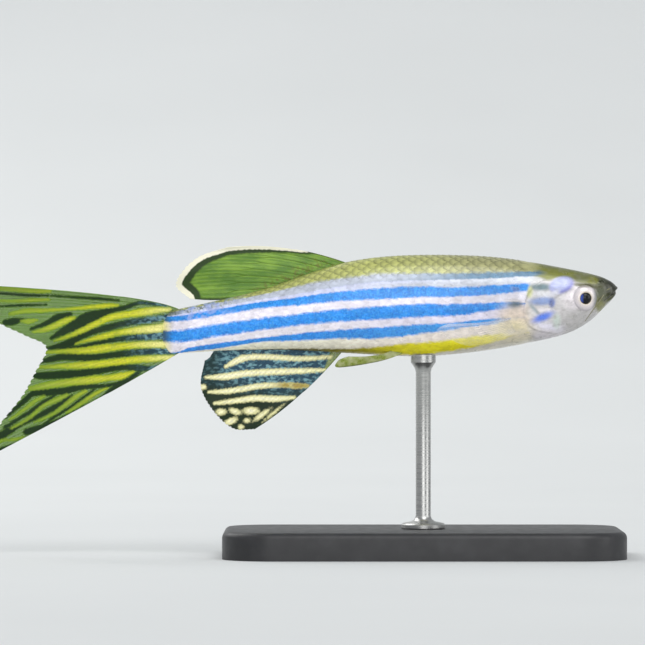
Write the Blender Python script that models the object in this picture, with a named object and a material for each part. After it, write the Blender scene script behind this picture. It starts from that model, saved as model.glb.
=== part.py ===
"""Long-finned zebra danio, life size, held over a flat base by one short rod.

The fish is drawn in its own millimetres: s runs back from the tip of the snout, y to its left and z up
from the level of the eye. Every ring, fin root, eye and rod end is worked out from the same body lines.
"""

import math

import bmesh
import bpy
from mathutils import Vector

# Frame: the origin is the middle of the base's underside, the snout points to +X.
MM = 0.001
ROD_STATION = 15.5
EYE_LEVEL = 20.5
GAP = 0.3
SHARP_ANGLE = 40.0

# Body lines, each a few (station, value) points that a smooth curve runs through.
BODY_LENGTH = 35.9
BACK_LINE = (
    (0.0, 1.25), (1.4, 1.9), (4.6, 2.62), (9.4, 3.4), (14.2, 3.62), (18.9, 3.45),
    (22.6, 2.8), (28.6, 0.78), (35.9, -0.9),
)
BELLY_LINE = (
    (0.0, 0.45), (1.0, -0.56), (2.2, -1.7), (3.8, -2.6), (6.2, -3.25), (11.0, -4.1),
    (15.8, -4.5), (20.6, -4.3), (26.0, -4.0), (30.5, -4.02), (35.9, -4.3),
)
HALF_WIDTH = (
    (0.0, 0.55), (0.7, 1.02), (1.7, 1.42), (3.2, 1.75), (5.6, 2.08), (9.0, 2.3), (14.0, 2.36),
    (19.0, 2.1), (24.0, 1.55), (30.0, 0.92), (35.9, 0.5),
)
WIDEST_SHARE = ((0.0, 0.5), (3.0, 0.56), (9.0, 0.5), (20.0, 0.54), (35.9, 0.5))
SNOUT_TIP_Z = 0.92
NOSE_ROUND = 0.55
FLANK_FULLNESS = 0.88
RIM_FULLNESS = 0.96
TAIL_SWAY = 3.0
SWAY_FROM = 20.0
SWAY_TO = 52.0
NORMAL_STEP = 0.02

# Where the body is parted, and how finely it is lofted.
HEAD_END = 6.9
TAIL_START = 31.6
SECTION_SIDES = 28
HEAD_RINGS = (0.03, 0.12, 0.3, 0.55, 0.9, 1.3, 1.8, 2.3, 2.8, 3.4, 4.1, 4.9, 5.7, 6.3, HEAD_END)
TRUNK_RINGS = 25
TAIL_RINGS = 6

# Eyes.
EYE_STATION = 2.64
EYE_Z = 0.16
EYE_RADIUS = 1.04
EYE_DEPTH = 0.62
EYE_SINK = 0.26
PUPIL_RADIUS = 0.48
EYE_SIDES = 20
EYE_RINGS = 8
IRIS_LEVEL = 0.72
LENS_SHAPE = ((1.25, 0.08), (1.0, 0.13), (0.6, 0.21), (0.08, 0.25))
POLE_RADIUS = 0.02

# Mouth, lips, nostrils and barbels.
MOUTH_TIP = (-0.05, 0.6)
MOUTH_CORNER = (1.05, -0.05)
JAW_HINGE = (2.15, -2.3)
PRISM_REACH = 4.0
LIP_RADIUS = 0.15
LIP_RISE = 0.11
LIP_TAPER = 0.45
LIP_POINTS = 8
LIP_SIDES = 8
LIP_END = 0.1
LIP_FROM = 0.02
LIP_TO = 0.6
LIP_TRIES = 59
NOSTRIL_STATION = 1.3
NOSTRIL_TURN = 48.0
NOSTRIL_RADIUS = 0.17
NOSTRIL_FLARE = 0.7
NOSTRIL_DEPTH = 0.3
NOSTRIL_SIDES = 8
BARBEL_ROOT = 0.17
BARBEL_TIP = 0.08
BARBEL_SINK = 0.25
BARBEL_LIFT = 0.12
BARBEL_DROOP = 0.2
BARBEL_STEPS = 6
BARBEL_SIDES = 6
ROSTRAL_BARBEL = {"station": 0.42, "turn": 68.0, "length": 1.0, "lean": (0.8, 0.5, -0.25)}
MAXILLARY_BARBEL = {"station": 0.95, "turn": 84.0, "length": 2.3, "lean": (0.5, 0.35, -0.8)}

# Gill covers.
COVER_TOP_TURN = 58.0
COVER_BOTTOM_TURN = 150.0
COVER_FRONT = ((0.0, 5.3), (0.12, 4.75), (0.5, 4.3), (0.85, 4.1), (1.0, 4.5))
COVER_REAR = ((0.0, 5.9), (0.14, 6.8), (0.36, 7.45), (0.6, 7.5), (0.82, 6.7), (1.0, 5.2))
COVER_LIFT = 0.02
COVER_ROOM_TOP = 1.0
COVER_THICKNESS = 0.55
COVER_FLARE = 0.16
FLARE_START = 0.15
COVER_CELLS = (6, 12)

# Fins. Root and tip lines are (share along the fin's base, station, z); rays fan between them.
FIN_THICKNESS = 0.56
FIN_EDGE = 0.26
RAY_RIDGE = 0.13
RIDGE_TAPER = 0.6
MEMBRANE_NOTCH = 0.02
ROW_SPREAD = 0.9
EDGE_SHARE = 0.2
RAY_STEP = 0.01
DORSAL_BASE = (21.4, 28.0)
DORSAL_RAYS = 9
DORSAL_TIPS = (
    (0.0, 31.2, 4.22), (0.25, 33.4, 3.5), (0.5, 34.8, 2.3), (0.75, 35.3, 1.1), (1.0, 34.2, 0.12),
)
DORSAL_BOW = (0.9, 0.1)
ANAL_BASE = (21.9, 31.2)
ANAL_RAYS = 13
ANAL_TIPS = (
    (0.0, 29.0, -10.35), (0.2, 30.7, -10.3), (0.45, 32.3, -8.9), (0.7, 33.3, -7.0), (1.0, 33.0, -4.85),
)
ANAL_BOW = (-0.75, -0.1)
CAUDAL_ROOT_STATION = BODY_LENGTH + GAP
CAUDAL_ROOT_Z = (-0.6, -2.45, -2.75, -4.8)
CAUDAL_RAYS = 9
UPPER_LOBE_TIPS = (
    (0.0, 52.7, 1.3), (0.22, 52.2, 0.1), (0.5, 49.9, -1.7), (0.75, 47.5, -2.85), (1.0, 45.8, -3.6),
)
UPPER_LOBE_BEND_AT = (0.14, 0.4)
UPPER_LOBE_BOW = (0.95, 0.0)
LOWER_LOBE_TIPS = (
    (0.0, 45.8, -4.1), (0.25, 46.7, -5.8), (0.5, 47.8, -7.8), (0.78, 49.8, -10.3), (1.0, 52.0, -13.4),
)
LOWER_LOBE_BEND_AT = (0.4, 0.3)
LOWER_LOBE_BOW = (0.0, -0.35)
LOBE_RIPPLE = 0.35
PECTORAL_RAYS = 8
PECTORAL_ROOT = {"station": 8.35, "turn": 120.0, "height": 1.15}
PECTORAL_LENGTH = 7.0
PECTORAL_TAPER = 0.45
PECTORAL_TAPER_POWER = 1.5
PECTORAL_SHOULDER = 0.07
PECTORAL_SHOULDER_SHARE = 0.25
PECTORAL_SPREAD = 21.0
PECTORAL_FALL = (5.0, 17.0)
PECTORAL_LEAN = 0.35
PECTORAL_BOW = 0.9
PELVIC_RAYS = 6
PELVIC_ROOT = {"station": 17.5, "turn": 158.0, "height": 0.9}
PELVIC_LENGTHS = (5.9, 4.3)
PELVIC_HEADING = ((0.97, 0.1, -0.24), (0.97, 0.15, -0.14))
PELVIC_SLANT = 0.25
PELVIC_BOW = 0.6
RAY_BEND_AT = 0.3
FIN_ROWS = {"dorsal": 12, "anal": 9, "caudal": 13, "pectoral": 8, "pelvic": 7}

# Stand.
BASE_LENGTH = 32.0
BASE_WIDTH = 18.0
BASE_THICKNESS = 2.2
BASE_CORNER = 4.0
BASE_BEVEL = 0.5
CORNER_SEGMENTS = 6
ROD_RADIUS = 0.6
FOOT_RADIUS = 1.7
FOOT_HEIGHT = 0.7
PAD_RADIUS = 1.0
PAD_HEIGHT = 0.6
COLLAR_SHARE = 0.4
ROD_SIDES = 20


def clear_scene():
    """Starts from an empty scene."""
    for item in list(bpy.data.objects):
        bpy.data.objects.remove(item)


def material(name, colour, roughness, metallic=0.0):
    """A plain Principled material."""
    made = bpy.data.materials.new(name)
    made.use_nodes = True
    shader = made.node_tree.nodes["Principled BSDF"]
    shader.inputs["Base Color"].default_value = (*colour, 1.0)
    shader.inputs["Roughness"].default_value = roughness
    shader.inputs["Metallic"].default_value = metallic
    return made


def smooth_through(points, x):
    """Value at x of a smooth curve through (x, value) points, level past both ends."""
    if x <= points[0][0]:
        return points[0][1]
    if x >= points[-1][0]:
        return points[-1][1]
    i = max(k for k in range(len(points) - 1) if points[k][0] <= x)

    def slope(k):
        low, high = points[max(k - 1, 0)], points[min(k + 1, len(points) - 1)]
        return (high[1] - low[1]) / (high[0] - low[0])

    (x0, y0), (x1, y1) = points[i], points[i + 1]
    step = x1 - x0
    t = (x - x0) / step
    return (
        y0 * (2 * t**3 - 3 * t**2 + 1)
        + slope(i) * step * (t**3 - 2 * t**2 + t)
        + y1 * (3 * t**2 - 2 * t**3)
        + slope(i + 1) * step * (t**3 - t**2)
    )


def sway(s):
    """How far the tail has swung to the fish's left at station s."""
    share = max(0.0, (s - SWAY_FROM) / (SWAY_TO - SWAY_FROM))
    return TAIL_SWAY * share**2


def section(s):
    """Back, belly, half width and level of the widest line of the body at station s."""
    closing = math.sqrt(max(0.0, 1 - (1 - min(s / NOSE_ROUND, 1.0)) ** 2))
    back = SNOUT_TIP_Z + (smooth_through(BACK_LINE, s) - SNOUT_TIP_Z) * closing
    belly = SNOUT_TIP_Z + (smooth_through(BELLY_LINE, s) - SNOUT_TIP_Z) * closing
    half = smooth_through(HALF_WIDTH, s) * closing
    return back, belly, half, belly + (back - belly) * smooth_through(WIDEST_SHARE, s)


def skin_point(s, turn, side=1):
    """Point of the skin at station s; turn is 0 on the back, 90 on the flank and 180 on the belly."""
    back, belly, half, widest = section(s)
    across, up = math.sin(math.radians(turn)), math.cos(math.radians(turn))
    reach = back - widest if up >= 0 else widest - belly
    y = half * math.copysign(abs(across) ** FLANK_FULLNESS, across)
    z = widest + reach * math.copysign(abs(up) ** RIM_FULLNESS, up)
    return Vector((s, sway(s) + side * y, z))


def skin_normal(s, turn, side=1):
    """Outward direction of the skin there."""
    along = skin_point(s + NORMAL_STEP, turn, side) - skin_point(s - NORMAL_STEP, turn, side)
    around = skin_point(s, turn + 1, side) - skin_point(s, turn - 1, side)
    normal = along.cross(around).normalized()
    return normal if normal.y * side >= 0 else -normal


def half_width_at(s, z):
    """Half width of the body at station s and level z."""
    back, belly, half, widest = section(s)
    reach = back - widest if z >= widest else widest - belly
    up = min(1.0, abs(z - widest) / reach) ** (1 / RIM_FULLNESS)
    return half * math.sqrt(1 - up * up) ** FLANK_FULLNESS


def to_frame(point):
    """A point of the fish's own millimetres, in the part's frame in metres."""
    s, y, z = point
    return Vector((ROD_STATION - s, y, EYE_LEVEL + z)) * MM


def closed_object(name, points, faces, finish=None):
    """A mesh object from points in the fish's millimetres, its faces turned outwards."""
    mesh = bpy.data.meshes.new(name)
    mesh.from_pydata([to_frame(p) for p in points], [], faces)
    shell = bmesh.new()
    shell.from_mesh(mesh)
    bmesh.ops.recalc_face_normals(shell, faces=shell.faces)
    shell.to_mesh(mesh)
    shell.free()
    made = bpy.data.objects.new(name, mesh)
    bpy.context.scene.collection.objects.link(made)
    if finish:
        mesh.materials.append(finish)
        mesh.shade_smooth()
        mesh.set_sharp_from_angle(angle=math.radians(SHARP_ANGLE))
    return made


def tube_faces(rings, sides):
    """Side faces and two end faces of a tube of rings."""
    faces = [
        (r * sides + i, r * sides + (i + 1) % sides, (r + 1) * sides + (i + 1) % sides, (r + 1) * sides + i)
        for r in range(rings - 1)
        for i in range(sides)
    ]
    faces.append(tuple(range(sides)))
    faces.append(tuple(range((rings - 1) * sides, rings * sides)))
    return faces


def boolean(target, pieces, operation):
    """Applies one Boolean with all the pieces, and removes them."""
    group = bpy.data.collections.new("joining")
    bpy.context.scene.collection.children.link(group)
    for piece in pieces:
        group.objects.link(piece)
    step = target.modifiers.new(operation, "BOOLEAN")
    step.operation = operation
    step.operand_type = "COLLECTION"
    step.collection = group
    step.solver = "EXACT"
    graph = bpy.context.evaluated_depsgraph_get()
    result = bpy.data.meshes.new_from_object(target.evaluated_get(graph))
    target.modifiers.remove(step)
    target.data = result
    for piece in pieces:
        bpy.data.objects.remove(piece)
    bpy.data.collections.remove(group)
    keep_largest(target)


def keep_largest(target):
    """Keeps only the largest closed surface of a mesh."""
    shell = bmesh.new()
    shell.from_mesh(target.data)
    left, pieces = set(shell.verts), []
    while left:
        grown, edge = set(), [left.pop()]
        while edge:
            vertex = edge.pop()
            grown.add(vertex)
            near = {e.other_vert(vertex) for e in vertex.link_edges} & left
            left -= near
            edge.extend(near)
        pieces.append(grown)

    def extent(piece):
        xs, zs = [v.co.x for v in piece], [v.co.z for v in piece]
        return (max(xs) - min(xs)) * (max(zs) - min(zs))

    pieces.sort(key=extent)
    scraps = [v for piece in pieces[:-1] for v in piece]
    bmesh.ops.delete(shell, geom=scraps, context="VERTS")
    shell.to_mesh(target.data)
    shell.free()


def body_loft(name, stations, finish):
    """A length of the body, with flat ends."""
    turns = [360 * i / SECTION_SIDES for i in range(SECTION_SIDES)]
    points = [skin_point(s, turn) for s in stations for turn in turns]
    return closed_object(name, points, tube_faces(len(stations), SECTION_SIDES), finish)


def spread_stations(start, end, count):
    """Even stations from start to end."""
    return [start + (end - start) * i / (count - 1) for i in range(count)]


def prism(name, outline):
    """A block right across the fish with this outline of (station, z) points."""
    corners = [(s, y, z) for y in (-PRISM_REACH, PRISM_REACH) for s, z in outline]
    return closed_object(name, corners, tube_faces(2, len(outline)))


def jaw_outline(grow):
    """The lower jaw's side of the mouth line and hinge line, let out by grow."""
    tip, corner, hinge = Vector(MOUTH_TIP), Vector(MOUTH_CORNER), Vector(JAW_HINGE)
    mouth = (corner - tip).normalized()
    back = (hinge - corner).normalized()
    above = Vector((-mouth.y, mouth.x)) * grow
    behind = Vector((-back.y, back.x)) * grow
    bend = corner + above + behind
    return (
        tuple(tip - mouth * PRISM_REACH + above),
        tuple(bend),
        tuple(hinge + back * PRISM_REACH + behind),
        (hinge.x - 2 * PRISM_REACH, hinge.y - PRISM_REACH),
    )


def turned(name, profile, centre, axis, sides, finish=None):
    """A round piece: (radius, height) pairs spun about the axis, both ends on the axis or capped."""
    turn = Vector((0, 0, 1)).rotation_difference(Vector(axis))
    points = []
    for radius, height in profile:
        for i in range(sides):
            angle = 2 * math.pi * i / sides
            spoke = Vector((radius * math.cos(angle), radius * math.sin(angle), height))
            points.append(Vector(centre) + turn @ spoke)
    return closed_object(name, points, tube_faces(len(profile), sides), finish)


def eye_place(side):
    """Centre and outward axis of an eye, set on the skin."""
    back, belly, half, widest = section(EYE_STATION)
    up = (EYE_Z - widest) / ((back - widest) if EYE_Z > widest else (widest - belly))
    turn = math.degrees(math.acos(max(-1.0, min(1.0, up))))
    normal = skin_normal(EYE_STATION, turn, side)
    return skin_point(EYE_STATION, turn, side) - normal * EYE_SINK, normal


def eye_profile(grow=0.0):
    """Half an oval from the back of the eye to its front, let out by grow."""
    angles = [math.pi * i / EYE_RINGS for i in range(EYE_RINGS + 1)]
    return [
        (max(POLE_RADIUS, (EYE_RADIUS + grow) * math.sin(angle)), -(EYE_DEPTH + grow) * math.cos(angle))
        for angle in angles
    ]


def eye(name, side, finish):
    """An eye with a flat iris step round a raised pupil and lens."""
    centre, axis = eye_place(side)
    bulge = [(radius, height) for radius, height in eye_profile() if height < EYE_DEPTH * IRIS_LEVEL]
    shoulder = bulge[-1][1]
    lens = [(PUPIL_RADIUS * share, shoulder + rise) for share, rise in LENS_SHAPE]
    return turned(name, bulge + lens, centre, axis, EYE_SIDES, finish)


def thread(name, points, radii, sides):
    """A tapering tube along points."""
    ring_points = []
    for i, point in enumerate(points):
        ahead = points[min(i + 1, len(points) - 1)] - points[max(i - 1, 0)]
        turn = Vector((0, 0, 1)).rotation_difference(ahead.normalized())
        for k in range(sides):
            angle = 2 * math.pi * k / sides
            ring_points.append(point + turn @ Vector((math.cos(angle), math.sin(angle), 0)) * radii[i])
    return closed_object(name, ring_points, tube_faces(len(points), sides))


def lip(name, above):
    """A rounded lip along the mouth's edge, from one corner round the snout to the other."""
    tip, corner = Vector(MOUTH_TIP), Vector(MOUTH_CORNER)
    lift = above * LIP_RISE + (GAP if above > 0 else 0.0)

    def level(s):
        return tip.y + (corner.y - tip.y) * (s - tip.x) / (corner.x - tip.x) + lift

    tries = spread_stations(LIP_FROM, LIP_TO, LIP_TRIES)
    start = next(s for s in tries if half_width_at(s, level(s)) > 2 * LIP_RADIUS)
    points, radii = [], []
    for i in range(-LIP_POINTS, LIP_POINTS + 1):
        bend = abs(i) / LIP_POINTS
        s = start + (corner.x - LIP_END - start) * (1 - math.cos(bend * math.pi / 2))
        y = half_width_at(s, level(s)) * min(1.0, 2 * bend)
        points.append(Vector((s, math.copysign(y, i), level(s))))
        radii.append(LIP_RADIUS * (1 - LIP_TAPER * bend))
    return thread(name, points, radii, LIP_SIDES)


def barbel(name, place, side):
    """A feeler that leaves the skin and droops back."""
    root = skin_point(place["station"], place["turn"], side)
    normal = skin_normal(place["station"], place["turn"], side)
    back, out, down = place["lean"]
    lean = Vector((back, out * side, down)).normalized()
    start = root - normal * BARBEL_SINK
    points, radii = [], []
    for i in range(BARBEL_STEPS + 1):
        t = i / BARBEL_STEPS
        reach = normal * (BARBEL_SINK + BARBEL_LIFT) * min(1.0, 2 * t)
        droop = Vector((0, 0, -BARBEL_DROOP)) * t * t
        points.append(start + reach + (lean * t + droop) * place["length"])
        radii.append(BARBEL_ROOT + (BARBEL_TIP - BARBEL_ROOT) * t)
    return thread(name, points, radii, BARBEL_SIDES)


def gill_cover(name, side, grow, outer, inner, finish=None):
    """A curved plate over the gills, let out by grow along the skin and outer or inner across it."""
    columns, rows = COVER_CELLS
    turn_grow = math.degrees(grow / smooth_through(HALF_WIDTH, HEAD_END))
    top, bottom = COVER_TOP_TURN - turn_grow, COVER_BOTTOM_TURN + turn_grow
    faces_of = []
    for lift in (outer, inner):
        sheet = []
        for j in range(rows + 1):
            b = j / rows
            front = smooth_through(COVER_FRONT, b) - grow
            rear = smooth_through(COVER_REAR, b) + grow
            for i in range(columns + 1):
                a = i / columns
                s, turn = front + (rear - front) * a, top + (bottom - top) * b
                flare = COVER_FLARE * a**2 * math.sin(math.pi * (FLARE_START + (1 - FLARE_START) * b))
                sheet.append(skin_point(s, turn, side) + skin_normal(s, turn, side) * (lift + flare))
        faces_of.append(sheet)
    return sheet_solid(name, faces_of[0], faces_of[1], columns + 1, finish)


def sheet_solid(name, front, back, columns, finish=None):
    """Closes two like grids of points, both split into triangles the same way."""
    rows = len(front) // columns
    far = len(front)
    faces = []
    for j in range(rows - 1):
        for i in range(columns - 1):
            a = j * columns + i
            b, c, d = a + 1, a + columns + 1, a + columns
            faces += [(a, b, c), (a, c, d), (far + a, far + c, far + b), (far + a, far + d, far + c)]
    rim = [i for i in range(columns)]
    rim += [j * columns + columns - 1 for j in range(1, rows)]
    rim += [(rows - 1) * columns + i for i in range(columns - 2, -1, -1)]
    rim += [j * columns for j in range(rows - 2, 0, -1)]
    for i, a in enumerate(rim):
        b = rim[(i + 1) % len(rim)]
        faces += [(a, far + a, far + b), (a, far + b, b)]
    return closed_object(name, front + back, faces, finish)


def curve_point(root, middle, tip, u):
    """Point at share u of a bent ray."""
    return root * (1 - u) ** 2 + middle * (2 * u * (1 - u)) + tip * u**2


def fin(name, ray, rays, rows, finish):
    """A fin whose rays stand as ridges on its membrane; ray(v, u) gives a point of its middle sheet."""
    columns = 2 * rays - 1
    front, back = [], []
    for j in range(rows + 1):
        share = (j / rows) ** ROW_SPREAD
        for i in range(columns):
            v = i / (columns - 1)
            on_ray = i % 2 == 0
            u = share * (1.0 if on_ray else 1 - MEMBRANE_NOTCH)
            along = ray(v, min(u + RAY_STEP, 1.0)) - ray(v, max(u - RAY_STEP, 0.0))
            around = ray(min(v + RAY_STEP, 1.0), u) - ray(max(v - RAY_STEP, 0.0), u)
            normal = along.cross(around).normalized()
            thin = max(0.0, (share - 1 + EDGE_SHARE) / EDGE_SHARE)
            thick = FIN_THICKNESS + (FIN_EDGE - FIN_THICKNESS) * thin
            if on_ray:
                thick += 2 * RAY_RIDGE * (1 - RIDGE_TAPER * share)
            centre = ray(v, u)
            front.append(centre + normal * thick / 2)
            back.append(centre - normal * thick / 2)
    return sheet_solid(name, front, back, columns, finish)


def line_of_tips(tips, v):
    """Station and z of a fin's outer edge at share v."""
    return (
        smooth_through([(share, s) for share, s, _ in tips], v),
        smooth_through([(share, z) for share, _, z in tips], v),
    )


def median_ray(base, body_line, gap, tips, bow):
    """The middle sheet of a fin on the back or belly line."""
    def ray(v, u):
        start = base[0] + (base[1] - base[0]) * v
        root = Vector((start, 0, smooth_through(body_line, start) + gap))
        end, height = line_of_tips(tips, v)
        tip = Vector((end, 0, height))
        middle = (root + tip) / 2 + Vector((0, 0, bow[0] + (bow[1] - bow[0]) * v))
        point = curve_point(root, middle, tip, u)
        point.y = sway(point.x)
        return point
    return ray


def caudal_ray(root_z, tips, bend_at, bow):
    """The middle sheet of one lobe of the tail fin."""
    def ray(v, u):
        root = Vector((CAUDAL_ROOT_STATION, 0, root_z[0] + (root_z[1] - root_z[0]) * v))
        end, height = line_of_tips(tips, v)
        tip = Vector((end, 0, height))
        bend = bend_at[0] + (bend_at[1] - bend_at[0]) * v
        middle = root.lerp(tip, bend) + Vector((0, 0, bow[0] + (bow[1] - bow[0]) * v))
        point = curve_point(root, middle, tip, u)
        point.y = sway(point.x) + LOBE_RIPPLE * u * u * math.sin(2 * math.pi * v)
        return point
    return ray


def pectoral_ray(side):
    """The middle sheet of a pectoral fin: out from the flank, then back along it."""
    station, turn = PECTORAL_ROOT["station"], PECTORAL_ROOT["turn"]
    normal = skin_normal(station, turn, side)
    centre = skin_point(station, turn, side) + normal * GAP
    upright = Vector((PECTORAL_LEAN, 0, 1))
    upright = (upright - normal * upright.dot(normal)).normalized()
    out = math.radians(PECTORAL_SPREAD)

    def ray(v, u):
        root = centre + upright * PECTORAL_ROOT["height"] * (0.5 - v)
        fall = math.radians(PECTORAL_FALL[0] + PECTORAL_FALL[1] * v)
        shoulder = 1 - PECTORAL_SHOULDER * (1 - math.sin(math.pi * min(1, v / PECTORAL_SHOULDER_SHARE)))
        length = PECTORAL_LENGTH * (1 - PECTORAL_TAPER * v**PECTORAL_TAPER_POWER) * shoulder
        heading = Vector((math.cos(out) * math.cos(fall), side * math.sin(out), -math.sin(fall)))
        middle = root + normal * PECTORAL_BOW + heading * length * RAY_BEND_AT
        return curve_point(root, middle, root + heading * length, u)
    return ray


def pelvic_ray(side):
    """The middle sheet of a pelvic fin: down from the belly, then back under it."""
    station, turn = PELVIC_ROOT["station"], PELVIC_ROOT["turn"]
    normal = skin_normal(station, turn, side)
    centre = skin_point(station, turn, side) + normal * GAP
    along = Vector((1, side * PELVIC_SLANT, 0))
    along = (along - normal * along.dot(normal)).normalized()
    first, last = (Vector((back, side * out, up)) for back, out, up in PELVIC_HEADING)

    def ray(v, u):
        root = centre + along * PELVIC_ROOT["height"] * (v - 0.5)
        length = PELVIC_LENGTHS[0] + (PELVIC_LENGTHS[1] - PELVIC_LENGTHS[0]) * v
        heading = first.lerp(last, v).normalized()
        middle = root + normal * PELVIC_BOW + heading * length * RAY_BEND_AT
        return curve_point(root, middle, root + heading * length, u)
    return ray


def build_head(finish, jaw_finish, cover_finish, eye_finish):
    """Head, lower jaw, gill covers and eyes."""
    head = body_loft("head", HEAD_RINGS, finish)
    jaw = body_loft("lower_jaw", HEAD_RINGS, jaw_finish)
    boolean(jaw, [prism("jaw_block", jaw_outline(0.0))], "INTERSECT")
    boolean(jaw, [lip("lower_lip", -1)], "UNION")

    cuts = [prism("jaw_room", jaw_outline(GAP))]
    for side, name in ((1, "left"), (-1, "right")):
        centre, axis = eye_place(side)
        cuts.append(turned(f"socket_{name}", eye_profile(GAP), centre, axis, EYE_SIDES))
        spot = skin_point(NOSTRIL_STATION, NOSTRIL_TURN, side)
        out = skin_normal(NOSTRIL_STATION, NOSTRIL_TURN, side)
        pit = [(NOSTRIL_RADIUS * NOSTRIL_FLARE, -NOSTRIL_DEPTH), (NOSTRIL_RADIUS, NOSTRIL_DEPTH)]
        cuts.append(turned(f"nostril_{name}", pit, spot, out, NOSTRIL_SIDES))
        cuts.append(cover_room(f"cover_room_{name}", side))
        eye(f"eye_{name}", side, eye_finish)
        gill_cover(f"gill_cover_{name}", side, 0.0, COVER_LIFT, COVER_LIFT - COVER_THICKNESS, cover_finish)
    boolean(head, cuts, "DIFFERENCE")

    grown = [lip("upper_lip", 1)]
    for side in (1, -1):
        grown.append(barbel("rostral", ROSTRAL_BARBEL, side))
        grown.append(barbel("maxillary", MAXILLARY_BARBEL, side))
    boolean(head, grown, "UNION")


def cover_room(name, side):
    """The space that a gill cover needs, cut from what lies under it."""
    return gill_cover(name, side, GAP, COVER_ROOM_TOP, COVER_LIFT - COVER_THICKNESS - GAP)


def build_body(finish):
    """Trunk and tail stalk."""
    start = HEAD_END + GAP
    trunk = body_loft("trunk", spread_stations(start, TAIL_START, TRUNK_RINGS), finish)
    boolean(trunk, [cover_room("room_left", 1), cover_room("room_right", -1)], "DIFFERENCE")
    body_loft("tail_stalk", spread_stations(TAIL_START + GAP, BODY_LENGTH, TAIL_RINGS), finish)


def build_fins(finish):
    """All the fins, each its own node; the forked tail fin is two lobes."""
    top = median_ray(DORSAL_BASE, BACK_LINE, GAP, DORSAL_TIPS, DORSAL_BOW)
    fin("dorsal_fin", top, DORSAL_RAYS, FIN_ROWS["dorsal"], finish)
    low = median_ray(ANAL_BASE, BELLY_LINE, -GAP, ANAL_TIPS, ANAL_BOW)
    fin("anal_fin", low, ANAL_RAYS, FIN_ROWS["anal"], finish)
    upper = caudal_ray(CAUDAL_ROOT_Z[:2], UPPER_LOBE_TIPS, UPPER_LOBE_BEND_AT, UPPER_LOBE_BOW)
    fin("tail_fin_upper", upper, CAUDAL_RAYS, FIN_ROWS["caudal"], finish)
    lower = caudal_ray(CAUDAL_ROOT_Z[2:], LOWER_LOBE_TIPS, LOWER_LOBE_BEND_AT, LOWER_LOBE_BOW)
    fin("tail_fin_lower", lower, CAUDAL_RAYS, FIN_ROWS["caudal"], finish)
    for side, name in ((1, "left"), (-1, "right")):
        fin(f"pectoral_fin_{name}", pectoral_ray(side), PECTORAL_RAYS, FIN_ROWS["pectoral"], finish)
        fin(f"pelvic_fin_{name}", pelvic_ray(side), PELVIC_RAYS, FIN_ROWS["pelvic"], finish)


def build_stand(base_finish, rod_finish):
    """A flat base with rounded corners, and one turned rod up to the belly."""
    points = []
    heights = [(0.0, 0.0), (0.0, BASE_THICKNESS - BASE_BEVEL), (BASE_BEVEL, BASE_THICKNESS)]
    for inset, height in heights:
        for corner in range(4):
            middle = math.radians(90 * corner + 45)
            centre_x = math.copysign(BASE_LENGTH / 2 - BASE_CORNER, math.cos(middle))
            centre_y = math.copysign(BASE_WIDTH / 2 - BASE_CORNER, math.sin(middle))
            for i in range(CORNER_SEGMENTS + 1):
                angle = math.radians(90 * corner + 90 * i / CORNER_SEGMENTS)
                x = centre_x + (BASE_CORNER - inset) * math.cos(angle)
                y = centre_y + (BASE_CORNER - inset) * math.sin(angle)
                points.append((ROD_STATION - x, y, height - EYE_LEVEL))
    sides = 4 * (CORNER_SEGMENTS + 1)
    closed_object("stand_base", points, tube_faces(len(heights), sides), base_finish)

    foot = BASE_THICKNESS + GAP
    top = EYE_LEVEL + section(ROD_STATION)[1] - GAP
    profile = [
        (FOOT_RADIUS, foot), (FOOT_RADIUS, foot + COLLAR_SHARE * FOOT_HEIGHT),
        (ROD_RADIUS, foot + FOOT_HEIGHT),
        (ROD_RADIUS, top - PAD_HEIGHT), (PAD_RADIUS, top - COLLAR_SHARE * PAD_HEIGHT), (PAD_RADIUS, top),
    ]
    centre = (ROD_STATION, 0, -EYE_LEVEL)
    turned("stand_rod", profile, centre, (0, 0, 1), ROD_SIDES, rod_finish)


def main():
    clear_scene()
    silver = material("cheek_silver", (0.72, 0.7, 0.7), 0.35, 0.2)
    olive = material("snout_olive", (0.36, 0.36, 0.24), 0.4)
    flank = material("flank_blue_silver", (0.42, 0.58, 0.82), 0.3, 0.2)
    membrane = material("fin_membrane", (0.72, 0.72, 0.42), 0.45)
    iris = material("eye_silver", (0.82, 0.8, 0.78), 0.15, 0.1)
    lacquer = material("base_black", (0.03, 0.03, 0.032), 0.35)
    steel = material("rod_steel", (0.62, 0.62, 0.6), 0.3, 1.0)
    build_head(olive, silver, silver, iris)
    build_body(flank)
    build_fins(membrane)
    build_stand(lacquer, steel)


main()
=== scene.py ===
# %% [markdown]
# # A long-finned zebra danio on a small display stand
#
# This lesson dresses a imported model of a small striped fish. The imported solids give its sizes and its
# parting into nodes. Here each node gets the look of the living fish: a wet skin, rows of scales, thin
# fins with fine rays, and markings that run along the body. The first step loads the solids.

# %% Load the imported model
import math

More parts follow.
